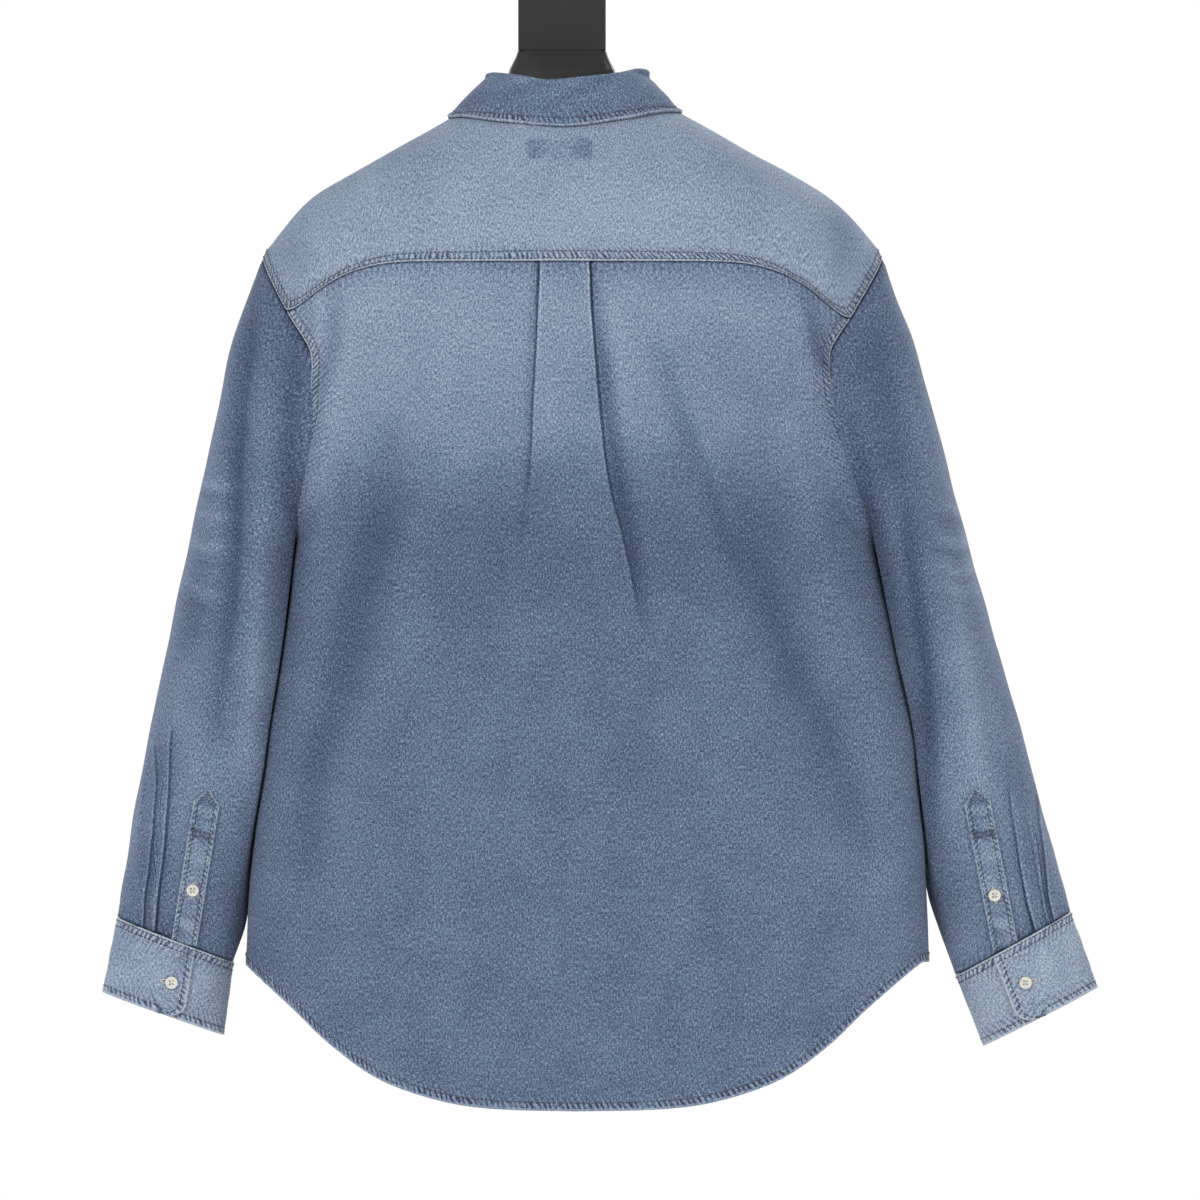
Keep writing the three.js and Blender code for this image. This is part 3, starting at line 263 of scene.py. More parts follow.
def lean_of(p):
    return np.arctan2(p[..., 1], p[..., 2] - LEAN_Z)


def shoulder_point(x, lean):
    x, lean = np.broadcast_arrays(np.asarray(x, float), np.asarray(lean, float))

    def inside(r):
        z = LEAN_Z + r * np.cos(lean)
        return (z < -118) & (level(x, r * np.sin(lean), z) < 0)

    near = np.full(x.shape, 60.0)
    found = np.zeros(x.shape, bool)
    for r in np.arange(330, 60, -8.0):
        here = inside(np.full(x.shape, r)) & ~found
        near = np.where(here, r, near)
        found |= here
    far = near + 8
    for _ in range(26):
        r = (near + far) / 2
        here = inside(r)
        near = np.where(here, r, near)
        far = np.where(here, far, r)
    return vec(x, near * np.sin(lean), LEAN_Z + near * np.cos(lean))


def over_shoulder(start, end, k):
    """Lines over the shoulder between points of the torso, ending exactly at both."""
    a, b = lean_of(start), lean_of(end)
    p = shoulder_point(lerp(start[..., 0], end[..., 0], k), lerp(a, b, k))
    first = start - shoulder_point(start[..., 0], a)
    last = end - shoulder_point(end[..., 0], b)
    near = clamp01(1 - 2 * k)[..., None] ** 2
    far = clamp01(2 * k - 1)[..., None] ** 2
    return p + first * near + last * far


ARMHOLE_MID_Z = (SHOULDER_Z + UNDERARM_Z) / 2
ARMHOLE_HALF = (SHOULDER_Z - UNDERARM_Z) / 2


def armhole(side, turn):
    turn = np.asarray(turn, float)
    z = ARMHOLE_MID_Z + ARMHOLE_HALF * np.cos(turn)
    s = np.sin(turn)
    y = ARMHOLE_Y * (1 - np.cos(turn)) * 0.5 + s * np.where(s >= 0, ARMHOLE_BACK, ARMHOLE_FRONT)
    return angle_at_depth(side, y, z), z


def armhole_point(side, turn):
    return torso_point(*armhole(side, turn))


def armhole_turn(z, face):
    return face * np.arccos(np.clip((z - ARMHOLE_MID_Z) / ARMHOLE_HALF, -1, 1))


def yoke_seam_z(x):
    return YOKE_Z - YOKE_END_DROP * np.maximum(0, (np.abs(x) - 105) / 115) ** 3


hem_rise = sections(
    ["rise"],
    [
        [0, 0],
        [60, 0.012],
        [100, 0.05],
        [140, 0.145],
        [168, 0.256],
        [200, 0.46],
        [226, 0.67],
        [255, 0.88],
        [272, 1],
    ],
)


def hem_z(x, face):
    middle = HEM_BACK_Z if face > 0 else HEM_FRONT_Z
    return lerp(middle, HEM_SIDE_Z, hem_rise(np.abs(x - HEM_OFF_CENTRE))["rise"])


def hem_at(angle, face):
    z = np.full(np.shape(angle), HEM_SIDE_Z)
    for _ in range(6):
        z = hem_z(torso_point(angle, z)[..., 0], face)
    return z


def neck_seam(turn):
    depth = np.where(np.sin(turn) >= 0, NECK_BACK, NECK_FRONT)
    return torso_point(*on_torso_top(NECK_HALF_WIDTH * np.cos(turn), depth * np.sin(turn)))


def find_yoke_corner(side):
    low, high = 0.2, 1.4
    for _ in range(40):
        turn = (low + high) / 2
        p = armhole_point(side, turn)
        if p[2] > yoke_seam_z(p[0]):
            low = turn
        else:
            high = turn
    return (low + high) / 2


YOKE_CORNER = {1: find_yoke_corner(1), -1: find_yoke_corner(-1)}


def waves(u, v, period, seed, count=14):
    """Even, smooth and always the same roughness from -1 to 1, with no straight run."""
    pick = np.random.RandomState(seed)
    total = np.zeros(np.broadcast(u, v).shape)
    for _ in range(count):
        way = pick.uniform(0, PI)
        pace = 2 * PI / (period * pick.uniform(0.7, 1.6))
        start = pick.uniform(0, 2 * PI)
        total += np.sin(pace * (u * math.cos(way) + v * math.sin(way)) + start)
    return total / math.sqrt(count)


def puckers(along, away, period, reach, seed, slant=0.0):
    """Short ripples across a seam, uneven in pace and strength, that die away from it."""
    pace = along + slant * away + period * 0.55 * waves(along, away * 0.15, period * 5, seed, 7)
    strength = 0.65 + 0.35 * waves(along, away * 0.1, period * 7, seed + 1, 7)
    return np.sin(2 * PI * pace / period) * strength * np.exp(-((away / reach) ** 1.5))


# Meshes

FAR = 99.0
CLOTH_LABELS = ["wash", "worn", "under", "fold", "folded"]


def raw_mesh(name, points, faces):
    """A smooth mesh from points in millimetres and faces of four corners."""
    mesh = bpy.data.meshes.new(name)
    mesh.vertices.add(len(points))
    mesh.vertices.foreach_set("co", (points / 1000).ravel())
    mesh.loops.add(faces.size)
    mesh.loops.foreach_set("vertex_index", faces.ravel())
    mesh.polygons.add(len(faces))
    mesh.polygons.foreach_set("loop_start", np.arange(len(faces)) * 4)
    mesh.update(calc_edges=True)
    mesh.polygons.foreach_set("use_smooth", np.ones(len(faces), bool))
    return mesh


def dress(mesh, material, *nodes, slot="denim"):
    """Puts a mesh into the scene as a piece of the part, in place of the named solids."""
    mesh.validate()
    obj = bpy.data.objects.new(mesh.name, mesh)
    bpy.context.scene.collection.objects.link(obj)
    mesh.materials.append(material)
    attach(obj, "root")
    if nodes:
        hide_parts(*nodes)


def grid_normals(grid, closed=False):
    if closed:
        wide = np.concatenate([grid[:, -2:-1], grid, grid[:, 1:2]], axis=1)
        across = wide[:, 2:] - wide[:, :-2]
    else:
        across = np.gradient(grid, axis=1)
    return unit(np.cross(np.gradient(grid, axis=0), across))


def run_lengths(grid):
    """Length down each column from the top, and along each row from the first column."""
    down = np.zeros(grid.shape[:2])
    across = np.zeros(grid.shape[:2])
    down[1:] = np.cumsum(np.linalg.norm(np.diff(grid, axis=0), axis=-1), axis=0)
    across[:, 1:] = np.cumsum(np.linalg.norm(np.diff(grid, axis=1), axis=-1), axis=1)
    return down, across


def flat_along(grid, axis):
    """Flat cloth coordinates of a grid, with the given direction as the run of the warp."""
    step = np.diff(grid, axis=1)
    along = step @ axis
    across = np.zeros(grid.shape[:2])
    across[:, 1:] = np.cumsum(np.sqrt(np.maximum((step**2).sum(-1) - along**2, 0)), axis=1)
    middle = grid.shape[1] // 2
    return np.stack([across - across[:, middle : middle + 1], grid @ axis], axis=-1)


def flat_down(grid):
    """Flat cloth coordinates of a grid, measured along its own rows and columns."""
    down, across = run_lengths(grid)
    middle = grid.shape[1] // 2
    return np.stack([across - across[:, middle : middle + 1], -down], axis=-1)


def cloth_piece(
    name, node, grid, thick, relief, wash, seam, worn, closed=False, uv=None, under=FAR, fold=(FAR, 0)
):
    """A wall of cloth as one closed mesh, and its outer face: points and normals.

    A closed grid repeats its first column as its last.
    """
    rows, cols = grid.shape[:2]
    normals = grid_normals(grid, closed)
    base = grid + normals * relief[..., None]
    half = normals * np.broadcast_to(thick, (rows, cols))[..., None] / 2
    points = np.concatenate([base + half, base - half]).reshape(-1, 3)
    real = np.arange(rows * cols).reshape(rows, cols)
    index = real.copy()
    if closed:
        index[:, -1] = index[:, 0]
    inner = index + rows * cols

    def quads(a):
        return np.stack([a[:-1, :-1], a[1:, :-1], a[1:, 1:], a[:-1, 1:]], axis=-1).reshape(-1, 4)

    faces = [quads(index), quads(inner)[:, ::-1]]
    source = [quads(real), quads(real)[:, ::-1]]

    def rim(line, turned):
        first, last = line[:-1], line[1:]
        face = [index.flat[first], index.flat[last], inner.flat[last], inner.flat[first]]
        way = slice(None, None, -1 if turned else 1)
        faces.append(np.stack(face, axis=-1)[:, way])
        source.append(np.stack([first, last, last, first], axis=-1)[:, way])

    rim(real[0], False)
    rim(real[-1], True)
    if not closed:
        rim(real[:, 0], True)
        rim(real[:, -1], False)
    source = np.concatenate(source).reshape(-1)
    used, faces = np.unique(np.concatenate(faces), return_inverse=True)
    mesh = raw_mesh(f"{name}_cloth", points[used], faces.reshape(-1, 4))
    for layer, values in (("cloth", flat_down(grid) if uv is None else uv), ("seam", seam)):
        data = mesh.uv_layers.new(name=layer).data
        data.foreach_set("uv", (values.reshape(-1, 2)[source] / 1000).ravel())
    # The first attribute holds the piece's tone: its wash together with painted light and shade of its
    # creases.
    for label, values in zip(CLOTH_LABELS, (wash, worn, under, *fold)):
        spread = np.broadcast_to(values, (rows, cols)).ravel()
        both = np.concatenate([spread, spread])[used]
        data = mesh.attributes.new(label, "FLOAT", "POINT").data
        data.foreach_set("value", both.astype(np.float32))
    dress(mesh, DENIM, node)
    return base + half, normals


def nearest_seam(grid, edges):
    """Length along, and distance from, the nearest of the named edges, in millimetres."""
    down, across = run_lengths(grid)
    shape = grid.shape[:2]
    options = {
        "top": (np.broadcast_to(across[0], shape), down),
        "bottom": (np.broadcast_to(across[-1], shape), down[-1] - down),
        "start": (np.broadcast_to(down[:, :1], shape), across),
        "end": (np.broadcast_to(down[:, -1:], shape), across[:, -1:] - across),
    }
    away = np.stack([options[edge][1] for edge in edges])
    along = np.stack([options[edge][0] for edge in edges])
    pick = np.argmin(away, axis=0)[None]
    return np.stack([np.take_along_axis(along, pick, 0)[0], np.take_along_axis(away, pick, 0)[0]], axis=-1)


# Threads


def oriented(values, edge):
    """A grid turned so that the named edge is its first row."""
    if edge == "bottom":
        return values[::-1]
    if edge == "start":
        return values.swapaxes(0, 1)
    if edge == "end":
        return values.swapaxes(0, 1)[::-1]
    return values


def beside(face, normals, edge, away):
    """The line on a face at a set distance from one of its edges, with the normals there."""
    points, ups = oriented(face, edge), oriented(normals, edge)
    run = run_lengths(points)[0]
    row = np.maximum(np.argmax(run > away, axis=0), 1)
    column = np.arange(points.shape[1])
    low, high = run[row - 1, column], run[row, column]
    k = clamp01((away - low) / (high - low))[:, None]
    line = lerp(points[row - 1, column], points[row, column], k)
    return line, unit(lerp(ups[row - 1, column], ups[row, column], k))


def resampled(line, ups, places):
    s = np.concatenate([[0], np.cumsum(np.linalg.norm(np.diff(line, axis=0), axis=1))])
    point = np.stack([np.interp(places, s, line[:, i]) for i in range(3)], axis=-1)
    up = np.stack([np.interp(places, s, ups[:, i]) for i in range(3)], axis=-1)
    return point, unit(up)


def length_of(line):
    return float(np.linalg.norm(np.diff(line, axis=0), axis=1).sum())


STITCH_PITCH = 3.4
STITCH_LENGTH = 2.7
THREAD_RADIUS = 0.46
BAR_PLACES = np.array([0.0, 0.22, 0.78, 1.0])
BAR_SWELL = np.array([0.3, 1.0, 1.0, 0.3])
BAR_LIFT = np.array([-0.5, 0.55, 0.55, -0.5])
BAR_SIDES = 4


def bars(line, ups, pitch, length, radius, seed):
    """Points and faces of one row of stitches along a line on the cloth."""
    total = length_of(line)
    starts = np.arange(0.3 * pitch, total - length, pitch)
    if len(starts) < 1:
        return np.zeros((0, 3)), np.zeros((0, 4), int)
    pick = np.random.RandomState(seed)
    stray = pick.uniform(-0.14, 0.14, (len(starts), 1, 1)) * radius * 2
    centre, up = resampled(line, ups, starts[:, None] + length * BAR_PLACES[None])
    way = unit(centre[:, -1:] - centre[:, :1])
    across = unit(np.cross(way, up))
    swell, lift = (BAR_SWELL * radius)[None, :, None, None], (BAR_LIFT * radius)[None, :, None]
    turn = 2 * PI * np.arange(BAR_SIDES) / BAR_SIDES
    middle = (centre + up * lift + across * stray)[:, :, None]
    ring = middle + swell * (
        across[:, :, None] * np.cos(turn)[None, None, :, None]
        + up[:, :, None] * np.sin(turn)[None, None, :, None]
    )
    count = len(starts)
    index = np.arange(count * 4 * BAR_SIDES).reshape(count, 4, BAR_SIDES)
    after = np.roll(index, -1, axis=2)
    quads = np.stack([index[:, :-1], after[:, :-1], after[:, 1:], index[:, 1:]], axis=-1).reshape(-1, 4)
    return ring.reshape(-1, 3), np.concatenate([quads, index[:, 0, ::-1], index[:, -1]])


def stitches(name, runs, material, pitch=STITCH_PITCH, length=STITCH_LENGTH, radius=THREAD_RADIUS):
    """Every row of stitches of one piece, as one mesh."""
    points, faces, done = [], [], 0
    for seed, (line, ups) in enumerate(runs):
        p, f = bars(line, ups, pitch, length, radius, seed)
        points.append(p)
        faces.append(f + done)
        done += len(p)
    dress(raw_mesh(name, np.concatenate(points), np.concatenate(faces)), material)


def sew(name, face, rows):
    """Stitches along the edges of a piece of cloth: rows of edge and distance, or lines with normals."""
    runs = [beside(*face, *row) if isinstance(row[0], str) else row for row in rows]
    stitches(f"{name}_stitches", runs, BROWN_THREAD)


CORD_SIDES = 6
CORD_STEP = 0.42
CORD_RADIUS = 0.5
SATIN_PITCH = 0.9


def ring_cord(name, line, ups):
    """A closed round cord of satin stitches, laid on the cloth along a closed line."""
    total = length_of(line)
    count = int(total / CORD_STEP)
    centre, up = resampled(line, ups, total * np.arange(count) / count)
    way = unit(np.roll(centre, -1, axis=0) - np.roll(centre, 1, axis=0))
    across = unit(np.cross(way, up))
    bump = 1 + 0.18 * np.sin(2 * PI * np.arange(count) * CORD_STEP / SATIN_PITCH)
    turn = 2 * PI * np.arange(CORD_SIDES) / CORD_SIDES
    ring = (centre + up * CORD_RADIUS / 2)[:, None] + (CORD_RADIUS * bump)[:, None, None] * (
        across[:, None] * np.cos(turn)[None, :, None] + up[:, None] * np.sin(turn)[None, :, None]
    )
    index = np.arange(count * CORD_SIDES).reshape(count, CORD_SIDES)
    after = np.roll(index, -1, axis=1)
    ahead, both = np.roll(index, -1, axis=0), np.roll(after, -1, axis=0)
    faces = np.stack([index, after, both, ahead], axis=-1).reshape(-1, 4)
    dress(raw_mesh(name, ring.reshape(-1, 3), faces), CREAM_THREAD)


# Materials


class Nodes:
    """A new material's nodes, with short names for the few patterns that the materials use."""

    def __init__(self, name):
        self.material = bpy.data.materials.new(name)
        self.material.use_nodes = True
        self.tree = self.material.node_tree
        self.tree.nodes.clear()

    def add(self, kind, inputs=None, **settings):
        node = self.tree.nodes.new(kind)
        for key, value in settings.items():
            setattr(node, key, value)
        for key, value in (inputs or {}).items():
            self.put(node, key, value)
        return node

    def put(self, node, key, value):
        if isinstance(value, bpy.types.NodeSocket):
            self.tree.links.new(value, node.inputs[key])
        else:
            node.inputs[key].default_value = value

    def principled(self, inputs):
        shader = self.add("ShaderNodeBsdfPrincipled", inputs)
        self.add("ShaderNodeOutputMaterial", {"Surface": shader.outputs["BSDF"]})
        return self.material

    def uv(self, name):
        return self.add("ShaderNodeUVMap", uv_map=name).outputs["UV"]

    def attribute(self, name):
        return self.add("ShaderNodeAttribute", attribute_name=name).outputs["Fac"]

    def place(self):
        return self.add("ShaderNodeTexCoord").outputs["Object"]

    def math(self, operation, a, b=0.0, c=0.0):
        return self.add("ShaderNodeMath", {0: a, 1: b, 2: c}, operation=operation).outputs[0]

    def times(self, a, b):
        return self.math("MULTIPLY", a, b)

    def plus(self, value, share, rest):
        """A share of a value, added to the rest."""
        return self.math("MULTIPLY_ADD", value, share, rest)

    def bump(self, **inputs):
        named = {key.title(): value for key, value in inputs.items()}
        return self.add("ShaderNodeBump", named).outputs["Normal"]

    def window(self, value, rise_from, rise_to, fall_from, fall_to):
        """1 between the rise and the fall of a value, and 0 beyond them."""
        rise = self.spread(value, rise_from, rise_to)
        return self.times(rise, self.spread(value, fall_from, fall_to, 1.0, 0.0))

    def scaled(self, vector, scale):
        node = self.add("ShaderNodeVectorMath", {0: vector, 1: scale}, operation="MULTIPLY")
        return node.outputs[0]

    def noise(self, vector, scale, detail=2.0, roughness=0.5):
        inputs = {"Vector": vector, "Scale": scale, "Detail": detail, "Roughness": roughness}
        return self.add("ShaderNodeTexNoise", inputs).outputs["Fac"]

    def spread(self, value, low, high, to_low=0.0, to_high=1.0):
        inputs = {"Value": value, "From Min": low, "From Max": high, "To Min": to_low, "To Max": to_high}
        return self.add("ShaderNodeMapRange", inputs, clamp=True).outputs["Result"]

    def ramp(self, value, stops):
        node = self.add("ShaderNodeValToRGB", {"Fac": value})
        ramp = node.color_ramp
        while len(ramp.elements) < len(stops):
            ramp.elements.new(0.5)
        for element, (place, colour) in zip(ramp.elements, stops):
            element.position = place
            element.color = (*colour, 1.0)
        return node.outputs["Color"]


def linear(red, green, blue):
    """Scene colour from the 0 to 255 numbers of a screen colour."""
    out = []
    for c in (red, green, blue):
        c /= 255
        out.append(c / 12.92 if c <= 0.04045 else ((c + 0.055) / 1.055) ** 2.4)
    return tuple(out)


# How much brighter the lamps make a surface than the white surroundings alone.
STUDIO_LIGHT = 1.85


def paint(red, green, blue):
    """The colour of a surface that the studio's light shows as a screen colour."""
    return tuple(c / STUDIO_LIGHT for c in linear(red, green, blue))


def shades(base, low, high):
    """A darker and a lighter shade of a colour."""
    return [tuple(min(1.0, c * share) for c in base) for share in (low, high)]


# Distances beside seams are in metres here, and those from hidden edges and folds in millimetres.
ROPING_PITCH = 0.0046
TUCK_PITCH = 0.0052
TWILL_ANGLE = math.radians(63)


def denim_material(name):
    n = Nodes(name)
    cloth, seam = n.uv("cloth"), n.uv("seam")
    wash, worn, under, fold, folded = (n.attribute(label) for label in CLOTH_LABELS)
    split = n.add("ShaderNodeSeparateXYZ", {0: seam})
    along, away = split.outputs["X"], split.outputs["Y"]

    # Yarn: slubs that run down the cloth, their crossing threads, and pale flecks where the dye is worn off
    warp = n.noise(n.scaled(cloth, (1.0, 0.45, 1.0)), 860.0, 3.0, 0.7)
    weft = n.noise(n.scaled(cloth, (0.6, 1.0, 1.0)), 980.0, 2.0, 0.6)
    fleck = n.spread(n.noise(cloth, 1150.0, 1.0, 0.5), 0.55, 0.78)
    cloud = n.noise(cloth, 30.0, 3.0, 0.6)
    mist = n.noise(cloth, 130.0, 3.0, 0.65)
    turned = n.add("ShaderNodeMapping", {"Vector": cloth, "Rotation": (0.0, 0.0, TWILL_ANGLE)})
    wale = n.add(
        "ShaderNodeTexWave",
        {"Vector": turned.outputs[0], "Scale": 230.0, "Distortion": 1.4, "Detail": 1.0, "Detail Scale": 2.0},
        wave_type="BANDS",
        bands_direction="X",
    ).outputs["Fac"]

    # Roping beside the seams: a pale lip, dark hollows at an uneven pace, and short puckers beyond
    sway = n.noise(n.scaled(seam, (1.0, 0.25, 1.0)), 95.0, 2.0, 0.6)
    pace = n.plus(sway, 0.0075, n.plus(away, 0.5, along))
    ticks = n.math("SINE", n.times(pace, 2 * PI / ROPING_PITCH))
    uneven = n.spread(n.noise(seam, 75.0, 2.0), 0.3, 0.58, 0.3, 1.0)
    band = n.window(away, 0.0014, 0.0026, 0.0060, 0.0076)
    beyond = n.window(away, 0.007, 0.0085, 0.009, 0.021)
    hollow = n.times(n.spread(ticks, -0.3, 0.7), uneven)
    dark = n.times(n.plus(beyond, 0.36, band), n.times(hollow, worn))
    lip = n.times(n.spread(away, 0.0013, 0.0025, 1.0, 0.0), worn)
    faded = n.times(n.plus(beyond, 0.3, band), worn)

    # Where the cloth goes under a seam: a thin shadow, then short puckers
    pace = n.plus(sway, 0.009, n.add("ShaderNodeSeparateXYZ", {0: cloth}).outputs["X"])
    ticks = n.math("SINE", n.times(pace, 2 * PI / TUCK_PITCH))
    tucks = n.times(n.times(n.spread(ticks, -0.2, 0.8), uneven), n.window(under, 1.0, 2.0, 3.0, 13.0))
    shadow = n.spread(under, 0.7, 1.9, 1.0, 0.0)

    # A pressed fold: a painted highlight along its edge, and a painted shadow in the line beside it, where
    # the fold's edge shades the cloth
    line = n.window(fold, -0.4, 0.2, 0.9, 2.8)
    shade = n.window(fold, 0.0, 0.6, 2.0, 8.0)
    edge = n.window(fold, -2.4, -1.4, -0.7, -0.2)
    rise = n.window(fold, -9.0, -1.0, -0.4, 0.8)
    fold_shading = n.plus(line, -0.42, n.plus(shade, -0.08, n.times(edge, 0.16)))

    # The tone starts from each piece's own tone: its wash, with painted light and shade of creases and folds
    # added in.
    tone = n.math("ADD", wash, -0.022)
    for grain, share in ((warp, 1.45), (weft, 0.85), (cloud, 0.10), (mist, 0.14)):
        tone = n.plus(n.math("SUBTRACT", grain, 0.5), share, tone)
    marks = [(fleck, 0.15), (dark, -0.46), (lip, 0.24), (faded, 0.13), (shadow, -0.32), (tucks, -0.13)]
    for mark, share in (*marks, (fold_shading, folded)):
        tone = n.plus(mark, share, tone)
    stops = [
        (0.0, (38, 48, 72)),
        (0.25, (66, 80, 106)),
        (0.44, (94, 112, 141)),
        (0.68, (139, 156, 179)),
        (1.0, (196, 206, 217)),
    ]
    weave = n.plus(wale, 0.5, n.plus(weft, 0.7, warp))
    fine = n.bump(strength=0.4, distance=0.0005, height=weave)
    raised = n.math("SUBTRACT", n.plus(rise, folded, lip), n.math("ADD", dark, tucks))
    return n.principled(
        {
            "Base Color": n.ramp(tone, [(at, paint(*colour)) for at, colour in stops]),
            "Roughness": n.spread(tone, 0.0, 1.0, 0.82, 0.95),
            "Specular IOR Level": 0.12,
            "Sheen Weight": 0.04,
            "Sheen Roughness": 0.5,
            "Normal": n.bump(strength=0.6, distance=0.0012, height=raised, normal=fine),
        }
    )


def hanger_material(name, base):
    n = Nodes(name)
    scuffs = n.noise(n.place(), 45.0, 4.0, 0.6)
    low, high = shades(base, 0.86, 1.16)
    return n.principled(
        {
            "Base Color": n.ramp(scuffs, [(0.35, low), (0.7, high)]),
            "Roughness": n.spread(scuffs, 0.3, 0.7, 0.5, 0.66),
            "Specular IOR Level": 0.22,
            "Normal": n.bump(strength=0.12, distance=0.0002, height=n.noise(n.place(), 1400.0, 2.0, 0.6)),
        }
    )


def button_material(name):
    n = Nodes(name)
    swirl = n.noise(n.place(), 260.0, 4.0, 0.7)
    stops = [(0.3, paint(204, 203, 190)), (0.55, paint(228, 228, 218)), (0.75, paint(246, 246, 240))]
    return n.principled(
        {
            "Base Color": n.ramp(swirl, stops),
            "Roughness": n.spread(swirl, 0.3, 0.7, 0.22, 0.36),
            "Specular IOR Level": 0.5,
            "Coat Weight": 0.35,
            "Coat Roughness": 0.15,
        }
    )


def thread_material(name, base):
    n = Nodes(name)
    twist = n.noise(n.place(), 2600.0, 2.0, 0.6)
    low, high = shades(base, 0.7, 1.3)
    return n.principled(
        {
            "Base Color": n.ramp(twist, [(0.3, low), (0.7, high)]),
            "Roughness": n.spread(twist, 0.2, 0.8, 0.6, 0.8),
            "Specular IOR Level": 0.3,
        }
    )


DENIM = denim_material("washed_denim")
HANGER = hanger_material("black_plastic", paint(37, 37, 38))
PEARL = button_material("pearl_button")
BROWN_THREAD = thread_material("brown_thread", paint(88, 78, 92))
CREAM_THREAD = thread_material("cream_thread", paint(214, 208, 194))


# Where the photograph shows things: the size of its pixels, and the ones that stand for x and z of 0
PIXEL = 0.8
MIDDLE_PX = 565
TOP_PY = -50


def seen(px, py):
    """The x and z of a pixel of the photograph, as seen square on."""
    return (MIDDLE_PX - px) * PIXEL, (TOP_PY - py) * PIXEL


def blotch(x, z, px, py, wide, tall):
    """A soft oval patch, 1 in the middle, where the photograph has it."""
    cx, cz = seen(px, py)
    return np.exp(-(((x - cx) / (wide * PIXEL)) ** 2 + ((z - cz) / (tall * PIXEL)) ** 2))


def line_distance(x, z, line):
    """Distance from a line of seen points, the same signed (above zero on the image's left), and place."""
    points = np.array([seen(px, py) for px, py in line])
    best = np.full(x.shape, 1e9)
    signed = np.zeros(x.shape)
    along = np.zeros(x.shape)
    lengths = np.linalg.norm(np.diff(points, axis=0), axis=1)
    total = lengths.sum()
    done = 0.0
    for a, b, length in zip(points[:-1], points[1:], lengths):
        way = (b - a) / length
        k = np.clip((x - a[0]) * way[0] + (z - a[1]) * way[1], 0, length)
        dx, dz = x - a[0] - way[0] * k, z - a[1] - way[1] * k
        far = np.hypot(dx, dz)
        side = np.sign(dx * -way[1] + dz * way[0])
        closer = far < best
        best = np.where(closer, far, best)
        signed = np.where(closer, far * side, signed)
        along = np.where(closer, (done + k) / total, along)
        done += length
    return best, signed, along


def crease(x, z, line, reach, edge):
    """A soft ridge along a line, 1 at its crest. Edge makes its two sides uneven."""
    best, signed, along = line_distance(x, z, line)
    fade = np.sin(PI * np.clip(along * 0.94 + 0.03, 0, 1)) ** 0.6
    return np.exp(-((best / (reach * np.where(signed > 0, 1 + edge, 1 - edge))) ** 2)) * fade


def pressed_folds(x, z, table):
    """Signed distance from the nearest pressed fold, above zero on the side of its painted shadow, and its
    strength there, which sets its raised edge and its painted shadow and highlight.
    """
    near, strength = np.full(x.shape, FAR), np.zeros(x.shape)
    for line, dark, start, end in table:
        best, signed, along = line_distance(x, z, line)
        closer = best < np.abs(near)
        near = np.where(closer, signed * dark, near)
        strength = np.where(closer, lerp(start, end, along) * smooth((1 - along) * 8), strength)
    return near, strength


def creases(x, z, table):
    """Height and tone of a table of creases: line, reach, unevenness, height, tone. The tone is painted light
    on the ridges and painted shade in the troughs.
    """
    height, tone = np.zeros(x.shape), np.zeros(x.shape)
    for line, reach, edge, high, shade in table:
        weight = crease(x, z, line, reach, edge)
        height += high * weight
        tone += shade * weight
    return height, tone


def steps(count, start=0.0, end=1.0):
    return np.linspace(start, end, count + 1)


def edge_lengths(grid):
    """Distance from a grid's top and bottom, the place along each of them, and along each row."""
    down, across = run_lengths(grid)
    along_top = np.broadcast_to(across[0], down.shape)
    along_bottom = np.broadcast_to(across[-1], down.shape)
    return down, down[-1] - down, along_top, along_bottom, across


# Where hems are turned in, and how far from the edge they are sewn
HEM_TURN = 7.5
HEM_STITCH = 6.6
UP = np.array([0.0, 0.0, 1.0])


# Back panel

pleat = sections(
    ["left", "right", "height", "under"],
    [
        [-251, 19.2, -19.2, 3.4, 16],
        [-320, 21, -22, 3.6, 13],
        [-390, 25, -28.5, 3.8, 8],
        [-440, 29, -36, 3.6, 2],
        [-480, 33, -46, 3.0, -6],
        [-540, 39, -61, 2.2, -16],
        [-640, 50, -70, 1.0, -30],
        [-760, 64, -84, 0.2, -44],
        [-930, 76, -96, 0, -56],
    ],
)
PLEAT_ROLL = 0.9
PLEAT_FLARE = 3.0
# The points of one shut fold, distance past the edge and height, and of the same fold opened out, distance
FOLDED = [
    [-1.4, 1], [0, 1], [PLEAT_ROLL, 0.76], [-0.3, 0.5], [0.9, 0.5], [1, 0.25], [0.9, 0], [PLEAT_FLARE, 0],
]
OPENED = [-0.4, -0.1, 0.12, 0.3, 0.5, 0.7, 0.88, 1.1]


def pleat_fold(height, under):
    """Across one fold of the pleat, from the box outwards: how far past the edge, and how high."""
    shut = smooth(under / 6)
    tuck = np.maximum(under, 0.5)
    reach = {4: -tuck, 5: -tuck - PLEAT_ROLL, 6: -tuck}
    spread = np.maximum(2.5, -under)
    out = []
    for i, (away, high) in enumerate(FOLDED):
        open_away = OPENED[i] * spread
        open_high = 0.5 + 0.5 * math.cos(PI * min(1.0, max(0.0, (OPENED[i] + 0.4) / 1.5)))
        out.append((lerp(open_away, reach.get(i, away), shut), height * lerp(open_high, high, shut)))
    return out


